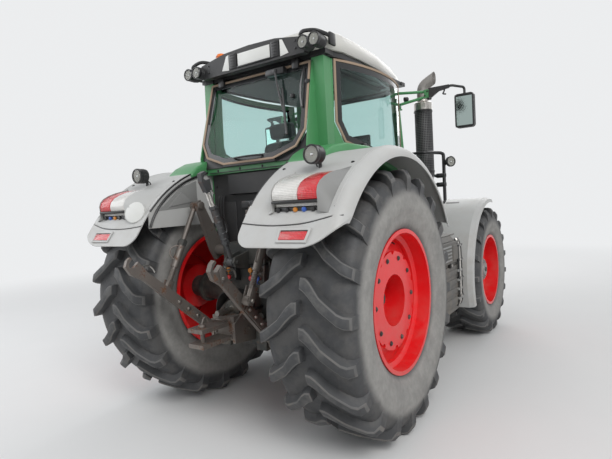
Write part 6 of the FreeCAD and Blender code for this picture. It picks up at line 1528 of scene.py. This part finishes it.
def pale_world():
    """Soft light all round, and a pale background for what the camera, metal and glass see."""
    world = bpy.data.worlds.new("studio")
    bpy.context.scene.world = world
    world.use_nodes = True
    nodes, links = world.node_tree.nodes, world.node_tree.links
    nodes.clear()
    path = nodes.new("ShaderNodeLightPath")
    seen = nodes.new("ShaderNodeMath")
    seen.operation = "MAXIMUM"
    both = nodes.new("ShaderNodeMath")
    both.operation = "MAXIMUM"
    light, view = nodes.new("ShaderNodeBackground"), nodes.new("ShaderNodeBackground")
    light.inputs["Color"].default_value = (0.92, 0.95, 1.0, 1)
    light.inputs["Strength"].default_value = 0.55
    view.inputs["Color"].default_value = (*BACKDROP, 1)
    mix, out = nodes.new("ShaderNodeMixShader"), nodes.new("ShaderNodeOutputWorld")
    links.new(path.outputs["Is Camera Ray"], seen.inputs[0])
    links.new(path.outputs["Is Glossy Ray"], seen.inputs[1])
    links.new(seen.outputs[0], both.inputs[0])
    links.new(path.outputs["Is Transmission Ray"], both.inputs[1])
    links.new(both.outputs[0], mix.inputs["Fac"])
    links.new(light.outputs[0], mix.inputs[1])
    links.new(view.outputs[0], mix.inputs[2])
    links.new(mix.outputs[0], out.inputs[0])


def build_stage(share):
    scene = bpy.context.scene
    bm = fresh()
    bmesh.ops.create_grid(bm, x_segments=4, y_segments=4, size=60.0)
    mesh = bpy.data.meshes.new("floor")
    bm.to_mesh(mesh)
    bm.free()
    mesh.materials.append(pale_stage("pale_floor", (0.74, 0.735, 0.72), BACKDROP))
    floor = bpy.data.objects.new("floor", mesh)
    scene.collection.objects.link(floor)
    pale_world()
    area_lamp("key", (-7.0, 6.5, 8.0), (0, 0, 1.2), 5.0, 620 * share)
    area_lamp("fill", (7.0, 5.0, 5.5), (0, 0, 1.2), 6.0, 260 * share, (0.95, 0.97, 1.0))
    area_lamp("rim", (1.0, -9.0, 6.5), (0, 0, 1.4), 6.0, 300 * share)
    view = bpy.data.cameras.new("photo_view")
    view.sensor_fit = "HORIZONTAL"
    view.sensor_width = 36.0
    view.lens = 36.0 * CAMERA_FOCAL
    view.clip_start, view.clip_end = 0.05, 200
    holder = bpy.data.objects.new("photo_view", view)
    scene.collection.objects.link(holder)
    holder.matrix_world = camera_matrix()
    scene.camera = holder
    scene.view_settings.view_transform = "Standard"


# CAD nodes that stay in view take a finish of their own

NODE_FINISH = {
    "green": ["hood_shell", "mirror_frames"],
    "cab_green": ["cab_frame", "left_door_frame"],
    "fender": ["rear_fender_left", "rear_fender_right", "front_fender_left", "front_fender_right"],
    "roof": ["cab_roof"],
    "red": ["rear_rim_left", "rear_rim_right", "front_rim_left", "front_rim_right"],
    "hub": ["front_hub_left", "front_hub_right"],
    "cast": ["transmission_case", "front_support", "front_axle_beam", "knuckle_left", "knuckle_right",
             "front_drive_shaft", "linkage_carrier"],
    "engine": ["engine_block"],
    "steel": ["lower_link_left", "lower_link_right", "lift_arms", "lift_rod_left", "lift_rod_right",
              "rear_hitch", "tie_rod"],
    "shaft": ["pto_shaft"],
    "barrel": ["top_link", "rear_couplers"],
    "stack": ["exhaust_stack"],
    "box": ["right_tool_box", "fuel_tank", "cab_steps"],
    "black": ["hood_grille", "left_mirror", "right_mirror", "rear_bulkhead", "roof_rear_panel", "headlamps",
              "work_lamps"],
    "satin": ["right_handrail"],
    "glass": ["right_window", "left_door_glass", "windscreen", "rear_window"],
    "trim": ["seat_base", "steering_column"],
    "cloth": ["seat"],
    "lens_red": ["tail_lamp_left", "tail_lamp_right"],
    "beacon": ["beacon"],
}


def finish_nodes():
    for finish, names in NODE_FINISH.items():
        for name in names:
            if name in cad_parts:
                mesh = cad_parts[name].data
                mesh.materials.clear()
                mesh.materials.append(FINISHES[finish])


# The add-on: settings, operators and panel

class TractorPaint(bpy.types.PropertyGroup):
    """The paint colours, linear"""
    cab_green: FloatVectorProperty(name="Cab green", description="Paint of the cab frame and the hood",
                                   default=(0.058, 0.245, 0.088), size=3, min=0, max=1, subtype="COLOR")
    rim_red: FloatVectorProperty(name="Rim red", description="Paint of the four rims",
                                 default=(0.74, 0.009, 0.012), size=3, min=0, max=1, subtype="COLOR")
    fender_grey: FloatVectorProperty(name="Fender grey", description="Colour of the fender mouldings",
                                     default=(0.47, 0.47, 0.455), size=3, min=0, max=1, subtype="COLOR")
    roof_cream: FloatVectorProperty(name="Roof cream", description="Colour of the roof moulding",
                                    default=(0.56, 0.55, 0.51), size=3, min=0, max=1, subtype="COLOR")


class TractorSizes(bpy.types.PropertyGroup):
    """Sizes of the dressing"""
    rear_lugs: IntProperty(name="Rear lugs", description="Lugs on each side of a rear tyre", default=20, min=12,
                           max=28)
    front_lugs: IntProperty(name="Front lugs", description="Lugs on each side of a front tyre", default=19, min=12,
                            max=28)
    seat_crown: FloatProperty(name="Seat crown", description="How far the seat cushion swells above its edges",
                              default=0.016, min=0.0, max=0.04, subtype="DISTANCE", unit="LENGTH")
    light: FloatProperty(name="Light", description="Share of the studio lamps' power", default=1.0, min=0.1, max=3.0,
                         subtype="FACTOR")


class TRACTOR_OT_finishes(bpy.types.Operator):
    """Make every paint, rubber, glass and metal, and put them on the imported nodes"""
    bl_idname = "tractor.finishes"
    bl_label = "Finishes"

    def execute(self, context):
        make_finishes(context.scene.tractor_paint)
        finish_nodes()
        return {"FINISHED"}


class TRACTOR_OT_tyres(bpy.types.Operator):
    """Build the four lugged tyres"""
    bl_idname = "tractor.tyres"
    bl_label = "Tyres"

    def execute(self, context):
        sizes = context.scene.tractor_sizes
        for end, count in (("rear", sizes.rear_lugs), ("front", sizes.front_lugs)):
            for word in SIDES:
                tyre(end, word, count)
        return {"FINISHED"}


class TRACTOR_OT_wheel_fittings(bpy.types.Operator):
    """Build the bolts and caps of the wheels"""
    bl_idname = "tractor.wheel_fittings"
    bl_label = "Wheel fittings"

    def execute(self, context):
        wheel_fittings()
        return {"FINISHED"}


class TRACTOR_OT_rear_fenders(bpy.types.Operator):
    """Build the tail lamps' lenses and the rear fenders' seams, and facets in painted shade"""
    bl_idname = "tractor.rear_fenders"
    bl_label = "Rear fenders"

    def execute(self, context):
        fender_fittings()
        return {"FINISHED"}


class TRACTOR_OT_lamps(bpy.types.Operator):
    """Build the work lamps' glass, the beacon and the handrail lamp"""
    bl_idname = "tractor.lamps"
    bl_label = "Lamps"

    def execute(self, context):
        lamp_fittings()
        return {"FINISHED"}


class TRACTOR_OT_roof(bpy.types.Operator):
    """Build the cab roof's moulding and the fittings round its edge"""
    bl_idname = "tractor.roof"
    bl_label = "Roof"

    def execute(self, context):
        roof_shell()
        roof_fittings()
        return {"FINISHED"}


class TRACTOR_OT_glass(bpy.types.Operator):
    """Build the seals, printed edges, wipers and handles of the cab glass"""
    bl_idname = "tractor.glass"
    bl_label = "Cab glass"

    def execute(self, context):
        glass_fittings()
        return {"FINISHED"}


class TRACTOR_OT_seat(bpy.types.Operator):
    """Build the padded seat"""
    bl_idname = "tractor.seat"
    bl_label = "Seat"

    def execute(self, context):
        seat(context.scene.tractor_sizes.seat_crown)
        return {"FINISHED"}


class TRACTOR_OT_cab_inside(bpy.types.Operator):
    """Build the console, screens, levers and pedals"""
    bl_idname = "tractor.cab_inside"
    bl_label = "Cab inside"

    def execute(self, context):
        cab_inside()
        return {"FINISHED"}


class TRACTOR_OT_hood(bpy.types.Operator):
    """Build the grille bars, headlamp glass and seams of the hood"""
    bl_idname = "tractor.hood"
    bl_label = "Hood"

    def execute(self, context):
        hood_fittings()
        return {"FINISHED"}


class TRACTOR_OT_boxes(bpy.types.Operator):
    """Build the fittings of the tool box, tank and steps"""
    bl_idname = "tractor.boxes"
    bl_label = "Boxes and steps"

    def execute(self, context):
        box_fittings()
        return {"FINISHED"}


class TRACTOR_OT_exhaust(bpy.types.Operator):
    """Build the silencer, its perforated shield and the cut neck"""
    bl_idname = "tractor.exhaust"
    bl_label = "Exhaust"

    def execute(self, context):
        exhaust()
        return {"FINISHED"}


class TRACTOR_OT_mirrors(bpy.types.Operator):
    """Build the mirrors' glass, rims and clamps"""
    bl_idname = "tractor.mirrors"
    bl_label = "Mirrors"

    def execute(self, context):
        mirror_fittings()
        return {"FINISHED"}


class TRACTOR_OT_front_end(bpy.types.Operator):
    """Build the fittings of the front fenders, knuckles, axle and bracket"""
    bl_idname = "tractor.front_end"
    bl_label = "Front end"

    def execute(self, context):
        front_fittings()
        return {"FINISHED"}


class TRACTOR_OT_linkage(bpy.types.Operator):
    """Build the pins, bolts, threads and latches of the three-point linkage"""
    bl_idname = "tractor.linkage"
    bl_label = "Linkage"

    def execute(self, context):
        link_fittings()
        return {"FINISHED"}


class TRACTOR_OT_hitch(bpy.types.Operator):
    """Build the coupler caps, shaft guard, tow jaw and case fittings"""
    bl_idname = "tractor.hitch"
    bl_label = "Hitch and case"

    def execute(self, context):
        hitch_fittings()
        return {"FINISHED"}


class TRACTOR_OT_stage(bpy.types.Operator):
    """Build the floor, the lights, the background and the camera"""
    bl_idname = "tractor.stage"
    bl_label = "Stage"

    def execute(self, context):
        build_stage(context.scene.tractor_sizes.light)
        return {"FINISHED"}


OPERATORS = (TRACTOR_OT_finishes, TRACTOR_OT_tyres, TRACTOR_OT_wheel_fittings, TRACTOR_OT_rear_fenders,
             TRACTOR_OT_lamps, TRACTOR_OT_roof, TRACTOR_OT_glass, TRACTOR_OT_seat, TRACTOR_OT_cab_inside,
             TRACTOR_OT_hood, TRACTOR_OT_boxes, TRACTOR_OT_exhaust, TRACTOR_OT_mirrors, TRACTOR_OT_front_end,
             TRACTOR_OT_linkage, TRACTOR_OT_hitch, TRACTOR_OT_stage)


class TRACTOR_PT_sidebar(bpy.types.Panel):
    """Lists the tractor's settings and pieces in the 3D view's sidebar"""
    bl_idname = "TRACTOR_PT_sidebar"
    bl_label = "Tractor"
    bl_space_type = "VIEW_3D"
    bl_region_type = "UI"
    bl_category = "Tractor"

    def draw(self, context):
        for group in (context.scene.tractor_paint, context.scene.tractor_sizes):
            for name in group.bl_rna.properties.keys():
                if name not in ("rna_type", "name"):
                    self.layout.prop(group, name)
        for kind in OPERATORS:
            self.layout.operator(kind.bl_idname)


CLASSES = (TractorPaint, TractorSizes, *OPERATORS, TRACTOR_PT_sidebar)


def register():
    for kind in CLASSES:
        bpy.utils.register_class(kind)
    bpy.types.Scene.tractor_paint = PointerProperty(type=TractorPaint)
    bpy.types.Scene.tractor_sizes = PointerProperty(type=TractorSizes)


def unregister():
    del bpy.types.Scene.tractor_paint
    del bpy.types.Scene.tractor_sizes
    for kind in reversed(CLASSES):
        bpy.utils.unregister_class(kind)


def main():
    register()
    for group in ("finishes", "tyres", "wheel_fittings", "rear_fenders", "lamps", "roof", "glass", "seat",
                  "cab_inside", "hood", "boxes", "exhaust", "mirrors", "front_end", "linkage", "hitch", "stage"):
        getattr(bpy.ops.tractor, group)()


if __name__ == "__main__":
    main()
